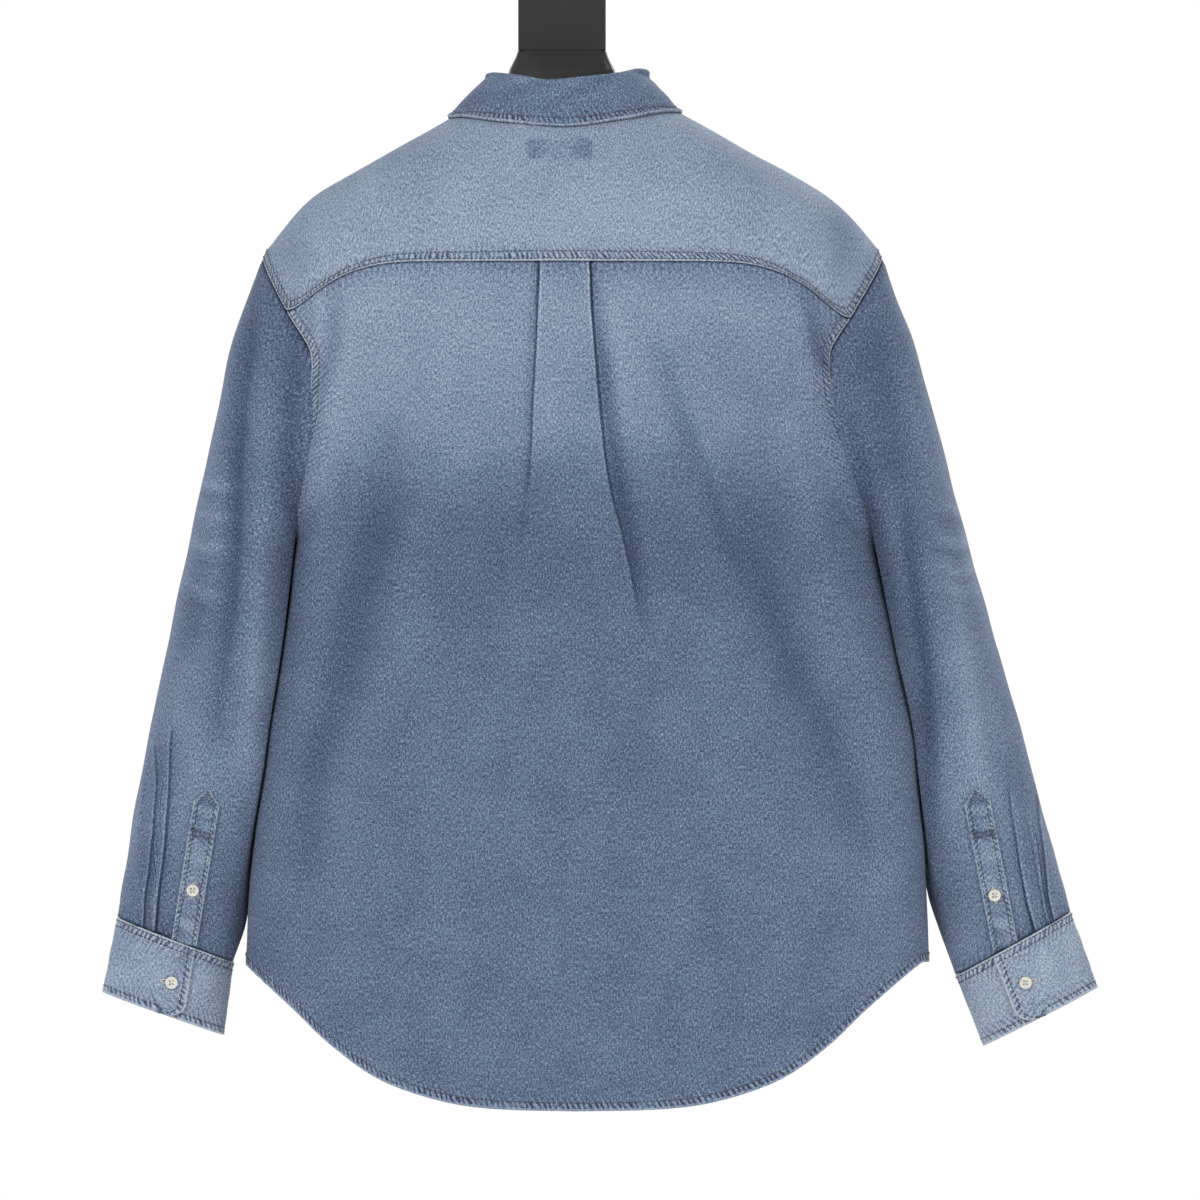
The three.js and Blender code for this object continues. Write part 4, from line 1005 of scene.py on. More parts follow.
def refined(values, parts):
    """A row of columns, each step cut into a number of parts, with its corners softened."""
    values = np.stack(values, axis=1)
    places = np.concatenate([[0]] + [i + steps(n)[1:] for i, n in enumerate(parts)])
    i = np.minimum(places.astype(int), values.shape[1] - 2)
    k = places - i
    out = values[:, i] * (1 - k) + values[:, i + 1] * k
    for _ in range(3):
        out[:, 1:-1] = out[:, 1:-1] * 0.5 + (out[:, :-2] + out[:, 2:]) * 0.25
    return out


BACK_ROWS = 210
FLANK_COLUMNS = 80
BOX_COLUMNS = 12
FOLD_PARTS = [3, 3, 3, 4, 3, 3, 4]


def back_x_point(x, t, high):
    z = lerp(yoke_seam_z(0.0), HEM_BACK_Z, t)
    for _ in range(5):
        z = lerp(yoke_seam_z(x), hem_at(angle_at_width(x, z, 1), 1), t)
    p = torso_point(angle_at_width(x, z, 1), z)
    p[..., 1] += high
    return p


def back_grid():
    corner_z = {side: armhole(side, YOKE_CORNER[side])[1] for side in (1, -1)}
    t = steps(BACK_ROWS)[:, None]
    middle_z = lerp(YOKE_Z, HEM_BACK_Z, t[:, 0])
    p = pleat(middle_z)
    fold = pleat_fold(p["height"], p["under"])
    away = refined([f[0] for f in fold], FOLD_PARTS)
    high = refined([f[1] for f in fold], FOLD_PARTS)
    left = back_x_point((p["left"][:, None] + away)[:, ::-1], t, high[:, ::-1])
    right = back_x_point(p["right"][:, None] - away, t, high)
    across = steps(BOX_COLUMNS)[1:-1][None]
    box_x = lerp(p["left"][:, None] + away[:, :1], p["right"][:, None] - away[:, :1], across)
    box = back_x_point(box_x, t, p["height"][:, None] + 0 * box_x)
    flanks = {}
    for side in (1, -1):
        side_z = lerp(corner_z[side], HEM_SIDE_Z, t)
        edge = np.where(
            side_z > UNDERARM_Z,
            armhole(side, armhole_turn(side_z, 1))[0] + side * SEAM_TURN,
            0.0 if side > 0 else PI,
        )
        inner_x = p["left"] + fold[-1][0] if side > 0 else p["right"] - fold[-1][0]
        inner = angle_at_width(inner_x, middle_z, 1)[:, None]
        k = steps(FLANK_COLUMNS)[:-1][None]
        angle = lerp(edge, inner, k)
        z = side_z + 0 * angle
        for _ in range(6):
            z = lerp(yoke_seam_z(torso_point(angle, z)[..., 0]), hem_at(angle, 1), t)
        flanks[side] = torso_point(angle, lerp(z, side_z + 0 * z, (1 - k) ** 6))
    return np.concatenate([flanks[1], left, box, right, flanks[-1][:, ::-1]], axis=1)


# Lines of seen points, with reach and unevenness, height in millimetres and tone: painted light on the
# ridges, painted shade in the troughs
BACK_CREASES = [
    ([(323, 278), (321, 324), (315, 372), (311, 420), (307, 490)], 5, 0, 2.2, 0.07),
    ([(311, 298), (312, 326), (308, 350)], 4, 0, -1.0, -0.06),
    ([(343, 272), (334, 326), (331, 385), (324, 450)], 8, 0.2, -2.6, -0.10),
    ([(354, 330), (346, 368), (337, 436), (323, 500), (312, 570)], 9, 0, 1.8, 0.05),
    (
        [(404, 410), (386, 465), (375, 520), (356, 590), (336, 680), (318, 770), (304, 850)],
        17, -0.3, -2.8, -0.11,
    ),
    ([(446, 400), (426, 500), (402, 600), (382, 720)], 22, 0, 1.3, 0.02),
    ([(504, 430), (498, 520), (484, 620), (470, 720)], 18, 0, -0.9, -0.035),
    ([(655, 335), (676, 400), (694, 450), (716, 510), (742, 580)], 9, 0.3, -1.8, -0.085),
    (
        [(740, 490), (752, 550), (778, 620), (808, 690), (834, 750), (852, 800), (870, 860)],
        16, 0.3, -2.8, -0.11,
    ),
    ([(784, 420), (804, 510), (836, 610), (870, 690), (898, 770)], 16, 0, 1.8, 0.03),
    ([(798, 286), (811, 322), (818, 362), (826, 415)], 8, -0.2, -2.4, -0.14),
    ([(824, 330), (834, 380), (848, 430), (864, 500)], 6, 0, 1.4, 0.05),
    ([(600, 610), (612, 720), (622, 860)], 26, 0, -1.2, -0.02),
    ([(500, 640), (474, 760), (446, 900)], 30, 0, 1.0, 0.01),
    ([(700, 640), (724, 760), (740, 900)], 30, 0, 1.0, 0.015),
    ([(352, 700), (336, 800), (330, 900)], 18, 0, 1.4, 0.02),
    ([(800, 770), (812, 850), (812, 930)], 18, 0, 1.2, 0.03),
]
# The box pleat's creases, with the same columns: painted shade along the pleat's edges, painted light on the
# ridge beside them
PLEAT_CREASES = [
    ([(536, 262), (532, 338), (528, 411), (527, 470)], 4, 0, 0, -0.06),
    (
        [(593, 280), (598, 330), (606, 400), (612, 450), (621, 505), (634, 568), (641, 622)],
        5.6, -0.5, -0.6, -0.2,
    ),
    ([(612, 290), (616, 340), (622, 400), (632, 450)], 9, 0, 0.8, 0.06),
]
# Pressed folds: line, side of the painted shadow (1 is the image's left), strength at its start and end
BACK_FOLD_LINES = [
    ([(541, 258), (538, 338), (534, 411), (531, 500)], 1, 0.9, 0.1),
    ([(589, 258), (591, 312), (598, 390), (605, 462), (615, 514), (629, 568), (640, 628)], -1, 1.0, 0.3),
]


def back_wash(x, z):
    """Where the cloth is washed pale: the shoulders and upper back, fading to mid blue below; over the pale
    part, painted light makes the left side lighter.
    """
    drift = waves(x, z, 120, 3, 9) * 7
    pale = smooth((z + 460 + drift) / 88)
    # Painted light: the 0.0002 * x term lightens the side towards the key light, on the image's left.
    tone = 0.43 + 0.195 * pale + 0.0002 * x * pale - 0.05 * pale * smooth((-295 - z) / 70)
    tone -= 0.045 * hump(z, -478, 50)
    tone += 0.06 * blotch(x, z, 890, 860, 50, 130)
    tone += 0.05 * blotch(x, z, 325, 530, 26, 60)
    tone -= 0.035 * smooth((z + 285) / 25)
    return tone + 0.014 * waves(x, z, 55, 4, 12)


ROLL_OUT = 13.0
ROLL_UP = 4.0
ROLL_REACH = 26.0


def rolled_edge(grid):
    """Rolls the back's edge out over the seam beside the arm, as the fold there does."""
    for side, part in ((1, grid), (-1, grid[:, ::-1])):
        run = run_lengths(part)[1]
        z = part[..., 2]
        window = smooth((-316 - z) / 44) * smooth((z + 488) / 45)
        near = smooth(1 - run / ROLL_REACH)
        part[..., 0] += side * ROLL_OUT * near * window
        part[..., 1] += ROLL_UP * np.sin(PI * clamp01(near) ** 0.8) * window
    return grid


PLEAT_CLOTH = 1.1
PLEAT_DEPTH = 250.0
# The share of the back's rows that lie beside the armhole, where its double stitching shows
ARM_SHARE = 0.26


def build_back():
    grid = back_grid()
    x, z = grid[..., 0], grid[..., 2]
    down, up, along_top, along_hem, across = edge_lengths(grid)
    side_away = np.minimum(across, across[:, -1:] - across)
    height, shade = creases(x, z, BACK_CREASES + PLEAT_CREASES)
    relief = height + waves(x, z, 95, 11, 12) * 0.5 + waves(x, z, 34, 12, 14) * 0.1
    relief = relief * smooth(down / 30) * smooth(side_away / 25)
    relief += 0.6 * puckers(along_top, down, 9.0, 13, 21, 0.3)
    relief += 0.5 * puckers(along_hem, up, 8.0, 10, 23, 0.6)
    hem = smooth((14 - up) / 6)
    beside_arm = smooth((z - UNDERARM_Z + 10) / 30)
    thick = np.where(up < HEM_TURN, DOUBLED, CLOTH)
    column = np.arange(grid.shape[1])
    in_pleat = (column >= FLANK_COLUMNS) & (column < grid.shape[1] - FLANK_COLUMNS)
    thick = np.where(in_pleat[None] & (down < PLEAT_DEPTH), PLEAT_CLOTH, thick)
    seam = nearest_seam(grid, ["bottom", "start", "end"])
    fold = pressed_folds(x, z, BACK_FOLD_LINES)
    tone = back_wash(x, z) + shade + 0.04 * hem
    worn = 0.2 + 0.8 * np.maximum(hem, beside_arm)
    top_row = grid[0].copy()
    rolled = rolled_edge(grid)
    uv = flat_along(rolled, UP)
    face = cloth_piece(
        "back_panel", "back_panel", rolled, thick, relief, tone, seam, worn, uv=uv, under=down, fold=fold
    )
    arm_rows = int(len(grid) * ARM_SHARE)
    rows = [("bottom", HEM_STITCH)]
    for edge in ("start", "end"):
        for away in (2.2, 8.6):
            rows.append([values[:arm_rows] for values in beside(*face, edge, away)])
    sew("back_panel", face, rows)
    return top_row


# Yoke


YOKE_ARM_COLUMNS = 60
YOKE_ROWS = 62
# The solids share the yoke's turns out by steps of its outer edge: a sixth of them to each shoulder.
YOKE_ARM_SHARE = 5 / 32
BOX_HALF = 23.0
BOX_RISE = 3.4


def yoke_grid(top_row):
    arm = YOKE_ARM_COLUMNS
    left = armhole_point(1, steps(arm, FRONT_CORNER_TURN, YOKE_CORNER[1])[:-1])
    right = armhole_point(-1, steps(arm, FRONT_CORNER_TURN, YOKE_CORNER[-1])[:-1])[::-1]
    flank = [top_row[:FLANK_COLUMNS], top_row[-FLANK_COLUMNS:]]
    box_x = steps(BOX_COLUMNS, BOX_HALF, -BOX_HALF)
    rise = BOX_RISE * smooth((BOX_HALF + 0.5 - np.abs(box_x)) / 3)
    box = back_x_point(box_x, np.zeros_like(box_x), rise)
    seam = np.concatenate([flank[0], box, flank[1]])
    outer = np.concatenate([left, seam, right])
    low, high = YOKE_ARM_SHARE, 1 - YOKE_ARM_SHARE
    back = steps(len(seam) - 1, low, high)
    shares = np.concatenate([steps(arm, 0, low)[:-1], back, steps(arm, high, 1)[1:]])
    inner = neck_seam(lerp(FRONT_NECK_TURN, PI - FRONT_NECK_TURN, shares))
    k = steps(YOKE_ROWS, 0.001, 0.999)[:, None] + 0 * shares[None]
    return over_shoulder(inner[None] + 0 * k[..., None], outer[None] + 0 * k[..., None], k)


# Creases of the yoke, as on the back: the tone is painted light on ridges and painted shade in troughs
YOKE_CREASES = [
    ([(300, 200), (284, 240), (296, 276)], 9, 0, -1.4, -0.03),
    ([(340, 190), (322, 235), (330, 262)], 12, 0, 1.0, 0.02),
    ([(830, 205), (846, 245), (838, 280)], 9, 0, -1.4, -0.05),
    ([(420, 150), (380, 185), (330, 215)], 14, 0, 0.8, 0.02),
    ([(705, 150), (752, 180), (800, 215)], 14, 0, 0.8, 0.0),
]


# Where a label was, the wash has left two darker patches.
LABEL_X = 4.4
LABEL_Z = -161.6
LABEL_HALF_WIDTH = 28.0
LABEL_HALF_HEIGHT = 9.5
YOKE_BAND = 9.5


def label_ghost(x, z):
    inside = smooth((LABEL_HALF_WIDTH - np.abs(x - LABEL_X)) / 4)
    inside = inside * smooth((LABEL_HALF_HEIGHT - np.abs(z - LABEL_Z)) / 3)
    middle = np.exp(-(((x - LABEL_X) / 14) ** 4))
    return inside * (1 - 0.7 * middle) * (0.85 + 0.15 * waves(x, z, 9, 36, 9))


def build_yoke(top_row):
    grid = yoke_grid(top_row)
    x, z = grid[..., 0], grid[..., 2]
    down, up, along_top, along, _ = edge_lengths(grid)
    back_side = smooth(grid[..., 1] / 20)
    height, shade = creases(x, z, YOKE_CREASES)
    band = smooth((YOKE_BAND - up) / 1.2)
    relief = 0.8 * band + 0.6 * puckers(along, up, 8.5, 17, 31, -0.5) * smooth(up / 3)
    relief += 0.3 * puckers(along_top, down, 9, 9, 33)
    relief += (waves(x, z + grid[..., 1], 80, 34, 10) * 0.35 + height * back_side) * smooth(up / 20)
    tone = 0.665 + 0.016 * waves(x, z, 70, 35, 12) + shade * back_side
    tone -= 0.03 * blotch(x, z, 400, 160, 60, 40) + 0.03 * blotch(x, z, 740, 170, 50, 30)
    tone += 0.02 * blotch(x, z, 640, 210, 120, 40)
    tone -= 0.19 * label_ghost(x, z)
    tone += 0.03 * hump(up, 18, 14) - 0.05 * band
    tone -= 0.03 * smooth((np.abs(x) - 190) / 30)
    worn = 1.0 - 0.6 * smooth(up / 60 - 1)
    face = cloth_piece("yoke", "back_yoke", grid, CLOTH, relief, tone, nearest_seam(grid, ["bottom"]), worn)
    sew("yoke", face, [("bottom", 1.9), ("bottom", 8.0)])


# Fronts and their placket

FRONT_EDGE_X = 14.5
FRONT_NECK_COLUMNS = 36
FRONT_SHOULDER_COLUMNS = 48
FRONT_ROWS = 190


def front_angle(p):
    angle = ring_angle(p)
    return np.where(angle > PI / 2, angle - 2 * PI, angle)


def front_grid(side):
    edge_x = FRONT_EDGE_X + side * SEAM_GAP * 0.6
    away = math.asin(edge_x / NECK_HALF_WIDTH)
    first = -PI / 2 + away if side > 0 else 1.5 * PI + away
    last = FRONT_NECK_TURN if side > 0 else PI - FRONT_NECK_TURN
    neck = neck_seam(steps(FRONT_NECK_COLUMNS, first, last))
    k = steps(FRONT_SHOULDER_COLUMNS)[1:]
    start = np.broadcast_to(neck[-1], (len(k), 3))
    end = np.broadcast_to(armhole_point(side, FRONT_CORNER_TURN), (len(k), 3))
    top = np.concatenate([neck, over_shoulder(start, end, k)])
    top_angle, top_z = front_angle(top), top[:, 2] - SEAM_GAP
    s = steps(len(top) - 1)[None]
    t = steps(FRONT_ROWS)[:, None]
    corner_z = float(armhole(side, FRONT_CORNER_TURN)[1]) - SEAM_GAP
    end_angle = -SEAM_TURN if side > 0 else -PI + SEAM_TURN
    inner_z = lerp(top_z[0], float(hem_z(edge_x, -1)), t)
    inner_a = angle_at_width(edge_x, inner_z, -1)
    outer_z = lerp(corner_z, HEM_SIDE_Z, t)
    arm_a = armhole(side, armhole_turn(outer_z, -1))[0]
    arm_a = np.where(arm_a > PI / 2, arm_a - 2 * PI, arm_a) - side * SEAM_TURN
    outer_a = np.where(outer_z > UNDERARM_Z, arm_a, end_angle)
    bottom_a = lerp(inner_a[-1], end_angle, s)
    bottom_z = hem_at(bottom_a, -1)

    def blend(l, r, u, d):
        twist = lerp(lerp(l[0], r[0], s), lerp(l[-1], r[-1], s), t)
        return lerp(l, r, s) + lerp(u[None], d, t) - twist

    angle = blend(inner_a, outer_a, top_angle, bottom_a)
    z = blend(inner_z, outer_z, top_z, bottom_z)
    grid = torso_point(angle, z)
    return grid if side > 0 else grid[:, ::-1]


# Creases of the fronts, as on the back: the tone is painted light on ridges and painted shade in troughs
FRONT_CREASES = [
    ([(380, 300), (352, 400), (322, 520), (300, 660)], 15, 0.2, -2.4, -0.09),
    ([(420, 330), (396, 470), (370, 620), (352, 780)], 22, 0, 1.6, 0.03),
    ([(752, 300), (790, 420), (826, 540), (850, 680)], 15, -0.2, -2.4, -0.09),
    ([(712, 330), (742, 470), (772, 620), (796, 780)], 22, 0, 1.6, 0.03),
    ([(490, 520), (478, 640), (462, 800)], 18, 0, -1.4, -0.04),
    ([(640, 500), (656, 640), (676, 800)], 18, 0, -1.4, -0.04),
]


def build_front(side, word):
    grid = front_grid(side)
    x, z = grid[..., 0], grid[..., 2]
    down, up, _, along_hem, across = edge_lengths(grid)
    rest = across[:, -1:] - across
    inner, outer = (across, rest) if side > 0 else (rest, across)
    margin = smooth(outer / 25) * smooth(inner / 30) * smooth(down / 30)
    height, shade = creases(x, z, FRONT_CREASES)
    relief = height + waves(x, z, 100, 41 + side, 12) * 0.7 + waves(x, z, 34, 43, 14) * 0.1
    relief = relief * margin + 0.4 * puckers(along_hem, up, 8.0, 10, 45, 0.6)
    hem = smooth((14 - up) / 6)
    pale = smooth((z + 460 + waves(x, z, 120, 46, 9) * 9) / 95)
    tone = 0.478 + 0.18 * pale + 0.016 * waves(x, z, 60, 47, 12) + shade + 0.04 * hem
    thick = np.where(up < HEM_TURN, DOUBLED, CLOTH)
    seam = nearest_seam(grid, ["bottom", "start", "end"])
    name = f"front_{word}"
    uv = flat_along(grid, UP)
    face = cloth_piece(name, name, grid, thick, relief, tone, seam, 0.2 + 0.8 * hem, uv=uv, under=down)
    sew(name, face, [("bottom", HEM_STITCH)])


PLACKET_WIDTH = 34.0
PLACKET_LIFT = CLOTH / 2 + 0.8 + DOUBLED / 2
PLACKET_ROWS = 230
PLACKET_COLUMNS = 16
PLACKET_STITCH = 6.2


def placket_grid():
    t = steps(PLACKET_ROWS)[:, None]
    x = steps(PLACKET_COLUMNS, -PLACKET_WIDTH / 2, PLACKET_WIDTH / 2)[None]
    top = neck_seam(-PI / 2 + np.arcsin(x / NECK_HALF_WIDTH))[..., 2] - 2.6
    z = lerp(top, hem_z(x, -1), t)
    grid = torso_point(angle_at_width(x + 0 * z, z, -1), z)
    return grid + grid_normals(grid) * PLACKET_LIFT


def build_placket():
    grid = placket_grid()
    x, z = grid[..., 0], grid[..., 2]
    down, across = run_lengths(grid)
    side = np.minimum(across, across[:, -1:] - across)
    relief = 0.35 * puckers(down, side, 7.5, 6, 51) - 0.3 * hump(side, 6, 1.2)
    tone = 0.5 + 0.12 * smooth((z + 455) / 110) + 0.02 * waves(x * 3, z, 40, 52, 10)
    seam = nearest_seam(grid, ["start", "end"])
    face = cloth_piece("front_placket", "front_placket", grid, DOUBLED, relief, tone, seam, 0.9)
    sew("front_placket", face, [("start", PLACKET_STITCH), ("end", PLACKET_STITCH)])
    return face


# Sleeves

SLEEVE_COLUMNS = ["out_x", "out_z", "in_x", "in_z", "y", "depth"]
SLEEVE = {
    1: sections(
        SLEEVE_COLUMNS,
        [
            [0, 241, -248, 204, -478, -3, 57],
            [1, 262, -300, 206, -486, -4, 63],
            [2, 273, -350, 206, -500, -5, 69],
            [3, 283.5, -400, 206, -522, -6, 72],
            [4, 294, -448, 207, -552, -7, 72],
            [5, 305, -500, 210, -590, -8, 70],
            [6, 315, -546, 215, -628, -9, 67],
            [7, 325, -592, 222, -664, -10, 63],
            [8, 335, -640, 232, -700, -11, 58],
            [9, 343.5, -688, 242, -736, -12, 51],
            [10, 351, -734, 254, -774, -13, 41],
            [11, 357.6, -774, 266.4, -809.5, -14, 27],
        ],
    ),
    -1: sections(
        SLEEVE_COLUMNS,
        [
            [0, 252.5, -248, 237, -478, -3, 57],
            [1, 273, -300, 240, -486, -4, 63],
            [2, 288, -350, 241, -500, -5, 69],
            [3, 302, -400, 243, -522, -6, 72],
            [4, 315, -448, 246, -552, -7, 72],
            [5, 329, -500, 252, -590, -8, 70],
            [6, 342, -546, 260, -628, -9, 67],
            [7, 355, -592, 268, -666, -10, 63],
            [8, 368, -640, 277, -706, -11, 58],
            [9, 381, -688, 287, -744, -12, 51],
            [10, 393, -732, 300, -783, -13, 41],
            [11, 404, -769.6, 313.6, -820, -14, 27],
        ],
    ),
}
SLEEVE_RINGS = 11.0
TOUCH = CLOTH + 2.2
SLEEVE_FOLDS = [
    [1.0, 0.6, 8.6, -6, 0.34],
    [2.3, 1.0, 7.0, -4, 0.3],
    [-0.9, 1.0, 9.5, -6, 0.34],
    [-1.7, 5.0, 10.6, 4, 0.34],
]
PLEAT_TURNS = [0.93, 1.22]
PLEAT_HEIGHT = 3.2
PLEAT_LEAN = {1: 0.55, -1: 0.36}
PLEAT_EDGE = 0.035


def leaned(side, turn, ring):
    shift = smooth((ring - 1) / 4) * smooth((SLEEVE_RINGS - ring) / 3)
    return turn - PLEAT_LEAN[side] * shift * hump(turn, 1.05, 0.75)


def sleeve_fold(side, turn, ring):
    height = np.zeros(np.broadcast(turn, ring).shape)
    for at, start, end, high, reach in SLEEVE_FOLDS:
        k = clamp01((ring - start) / (end - start))
        height += high * hump(turn, at, reach) * np.sin(PI * k).clip(0) ** 0.8
    for base in PLEAT_TURNS:
        away = turn - leaned(side, base, ring)
        rise = np.exp(np.minimum(0, away) / 0.24) * smooth((PLEAT_EDGE - away) / (2 * PLEAT_EDGE))
        height += PLEAT_HEIGHT * rise * smooth((ring - 7.8) / 2)
    return height


def smooth_max(a, b, reach):
    k = clamp01(0.5 + (a - b) / (2 * reach))
    return lerp(b, a, k) + reach * k * (1 - k)


def sleeve_oval(side, turn, ring, high=0.0):
    p = SLEEVE[side](ring)
    c = np.cos(turn) * (1 + high / 50)
    s = np.sin(turn) * (1 + high / p["depth"])
    return vec(
        side * ((p["in_x"] + p["out_x"]) / 2 + (p["out_x"] - p["in_x"]) / 2 * c),
        p["y"] + p["depth"] * s,
        (p["in_z"] + p["out_z"]) / 2 + (p["out_z"] - p["in_z"]) / 2 * c,
    )


def sleeve_point(side, turn, ring, high=0.0):
    turn, ring = np.broadcast_arrays(np.asarray(turn, float), np.asarray(ring, float))
    point = sleeve_oval(side, turn, ring, sleeve_fold(side, turn, ring) + high)
    fade = 1 - smooth(ring / 3)
    first = armhole_point(side, turn) - sleeve_oval(side, turn, np.zeros_like(ring))
    point = point + first * fade[..., None]
    inner = 0.5 - 0.5 * np.cos(turn)
    gap = lerp(SEAM_GAP + 0.4, TOUCH, inner**2)
    point[..., 0] += side * gap * (1 - smooth(ring / 0.6))
    y, z = point[..., 1], point[..., 2]
    reach = torso_side(side, y, z)
    slope = reach - torso_side(side, y + np.sign(y), z)
    away = np.minimum(TOUCH, gap + ring * 5) * np.minimum(2.2, np.sqrt(1 + slope**2))
    pushed = side * smooth_max(side * point[..., 0], reach + away, 2.5)
    point[..., 0] = np.where((ring >= 0.01) & (reach > 0), pushed, point[..., 0])
    return point


SLEEVE_TURNS = 172
SLEEVE_ROWS = 168


def sleeve_rows():
    """Rows down the sleeve, closest together over its last part, where the pleats are."""
    k = steps(SLEEVE_ROWS, 0, 0.9985)
    return SLEEVE_RINGS * (1.35 * k - 0.35 * k**2.4)


# Lines of seen points, with reach and unevenness, height in millimetres and tone: painted light on the
# ridges, painted shade in the troughs
SLEEVE_CREASES = {
    1: [
        (
            [(258, 262), (251, 350), (244, 402), (239, 471), (238, 540), (235, 600), (226, 660), (218, 740)],
            7.5, 0.3, -3.0, -0.17,
        ),
        (
            [(246, 290), (231, 380), (223, 460), (219, 540), (213, 620), (203, 700), (192, 770)],
            11, 0, 2.4, 0.08,
        ),
        ([(300, 320), (293, 400), (291, 470), (293, 540), (290, 620)], 9, 0, -1.0, -0.13),
        (
            [(273, 330), (265, 420), (263, 500), (261, 580), (257, 650), (252, 730), (247, 810)],
            8, 0, 1.8, 0.06,
        ),
        ([(262, 620), (257, 680), (250, 740), (244, 790)], 11, 0, 0.4, 0.10),
        ([(190, 640), (182, 690), (174, 740)], 10, 0, 0.8, 0.09),
        ([(212, 300), (200, 380), (190, 450)], 14, 0, -0.6, -0.03),
        ([(194, 478), (216, 486), (244, 487)], 3.6, 0, 0.4, 0.12),
        ([(196, 494), (212, 497), (232, 499)], 1.9, 0, -0.4, -0.12),
        ([(192, 510), (214, 518), (240, 518)], 3.2, 0, 0.3, 0.08),
        ([(188, 540), (208, 548), (232, 548)], 3.6, 0, 0.4, 0.10),
        ([(186, 558), (206, 563), (228, 566)], 2.0, 0, -0.4, -0.09),
        ([(180, 578), (200, 588), (226, 600)], 3.8, 0, 0.4, 0.11),
        ([(182, 600), (200, 606), (220, 614)], 2.2, 0, -0.3, -0.07),
    ],
    -1: [
        (
            [(902, 500), (908, 560), (916, 620), (925, 680), (929, 750), (930, 850)],
            7.5, -0.3, -2.8, -0.15,
        ),
        ([(944, 560), (956, 620), (965, 680), (972, 740), (980, 790)], 10, 0, 2.2, 0.11),
        ([(838, 400), (852, 440), (866, 500), (882, 570), (898, 640)], 9, 0, -1.0, -0.14),
        ([(868, 310), (882, 380), (893, 450), (903, 530)], 19, 0.3, -1.4, -0.12),
        ([(905, 520), (912, 580), (920, 650), (926, 720), (928, 800)], 10, 0, 0, -0.13),
        ([(904, 330), (922, 420), (936, 500)], 11, 0, 2.0, 0.06),
        ([(912, 560), (921, 640), (938, 740), (946, 820)], 6, 0, 1.2, 0.05),
        ([(975, 560), (994, 650), (1010, 730)], 9, 0, -0.8, -0.03),
        ([(944, 484), (962, 492), (976, 490)], 3.4, 0, 0.3, 0.09),
        ([(938, 504), (958, 512), (980, 508)], 3.4, 0, 0.4, 0.10),
        ([(936, 519), (958, 524), (982, 521)], 1.9, 0, -0.3, -0.10),
        ([(932, 536), (954, 543), (982, 538)], 3.4, 0, 0.4, 0.11),
        ([(930, 550), (954, 556), (982, 552)], 1.9, 0, -0.4, -0.11),
        ([(928, 566), (954, 572), (984, 568)], 3.4, 0, 0.4, 0.10),
        ([(934, 586), (958, 592), (984, 590)], 3.6, 0, 0.3, 0.08),
    ],
}
# The pressed pleats into the cuffs: line, side of the painted shadow, strength at its start and end
SLEEVE_PLEATS = {
    1: [
        ([(156, 748), (157, 783), (154, 832), (146, 893), (143, 940)], -1, 0.3, 1.0),
        ([(173, 730), (167, 836), (158, 899), (154, 944)], -1, 0.5, 1.1),
    ],
    -1: [
        ([(1036, 770), (1041, 839), (1047, 894), (1056, 932)], 1, 0.3, 1.0),
        ([(1008, 790), (1018, 859), (1027, 904), (1039, 944)], 1, 0.3, 1.1),
        ([(1024, 800), (1032, 850), (1042, 900), (1050, 936)], 1, 0.0, 0.5),
    ],
}


def sleeve_wash(side, turn, ring):
    tone = (0.425 if side > 0 else 0.455) + 0.016 * waves(turn * 50, ring * 50, 60, 71, 12)
    back = hump(turn, 1.45, 0.6)
    tone = tone + 0.12 * back * hump(ring, 8.0, 1.5)
    bump = -0.04 if side > 0 else 0.05
    tone = tone + bump * hump(turn, 0.75, 0.55) * hump(ring, 5.7, 1.4)
    tone = tone + 0.05 * hump(turn, 0.35, 0.35) * smooth((ring - 2) / 3)
    return tone - 0.02 * hump(ring, 0, 2.5) + (0.0 if side > 0 else 0.04) * smooth((ring - 9.2) / 1.2)


def sleeve_axis(side):
    """The direction of a sleeve from its cuff up to its shoulder."""
    return unit(sleeve_point(side, 0.0, 1.0) - sleeve_point(side, 0.0, SLEEVE_RINGS))


def build_sleeve(side, word):
    ring = sleeve_rows()[:, None]
    base = steps(SLEEVE_TURNS, -PI, PI)[None]
    for edge in PLEAT_TURNS:
        base = base - 0.035 * np.sin((base - edge) * 6) * hump(base, edge, 0.3)
    turn = leaned(side, base, ring)
    turn = turn if side > 0 else turn[:, ::-1]
    grid = sleeve_point(side, turn, ring + 0 * turn)
    x, z = grid[..., 0], grid[..., 2]
    down, up, along_top, along_cuff, across = edge_lengths(grid)
    height, shade = creases(x, z, SLEEVE_CREASES[side])
    # The hidden side has the same folds, a little softer.
    facing = np.where(np.sin(turn) > 0, smooth(np.sin(turn) / 0.25), 0.7 * smooth(-np.sin(turn) / 0.25))
    inside = smooth((np.cos(turn) + 0.62) / 0.5)
    relief = (waves(turn * 50, ring * 50, 70, 61 + side, 12) * 0.6 + height * facing) * smooth(up / 20)
    relief = relief * smooth(down / 40) * inside
    relief += 0.35 * puckers(along_top, down, 9, 8, 63) * smooth(down / 3) * inside
    relief += 0.5 * puckers(along_cuff, up, 7.5, 9, 65) * smooth(up / 2)
    tone = sleeve_wash(side, turn, ring) + shade * facing
    near, strength = pressed_folds(x, z, SLEEVE_PLEATS[side])
    fold = (near, strength * smooth(np.sin(turn) / 0.25))
    seam = np.stack([across, FAR + 0 * across], axis=-1)
    name, uv, under = f"sleeve_{word}", flat_along(grid, sleeve_axis(side)), np.minimum(down, up)
    cloth_piece(name, name, grid, CLOTH, relief, tone, seam, 0, closed=True, uv=uv, under=under, fold=fold)


# Cuffs

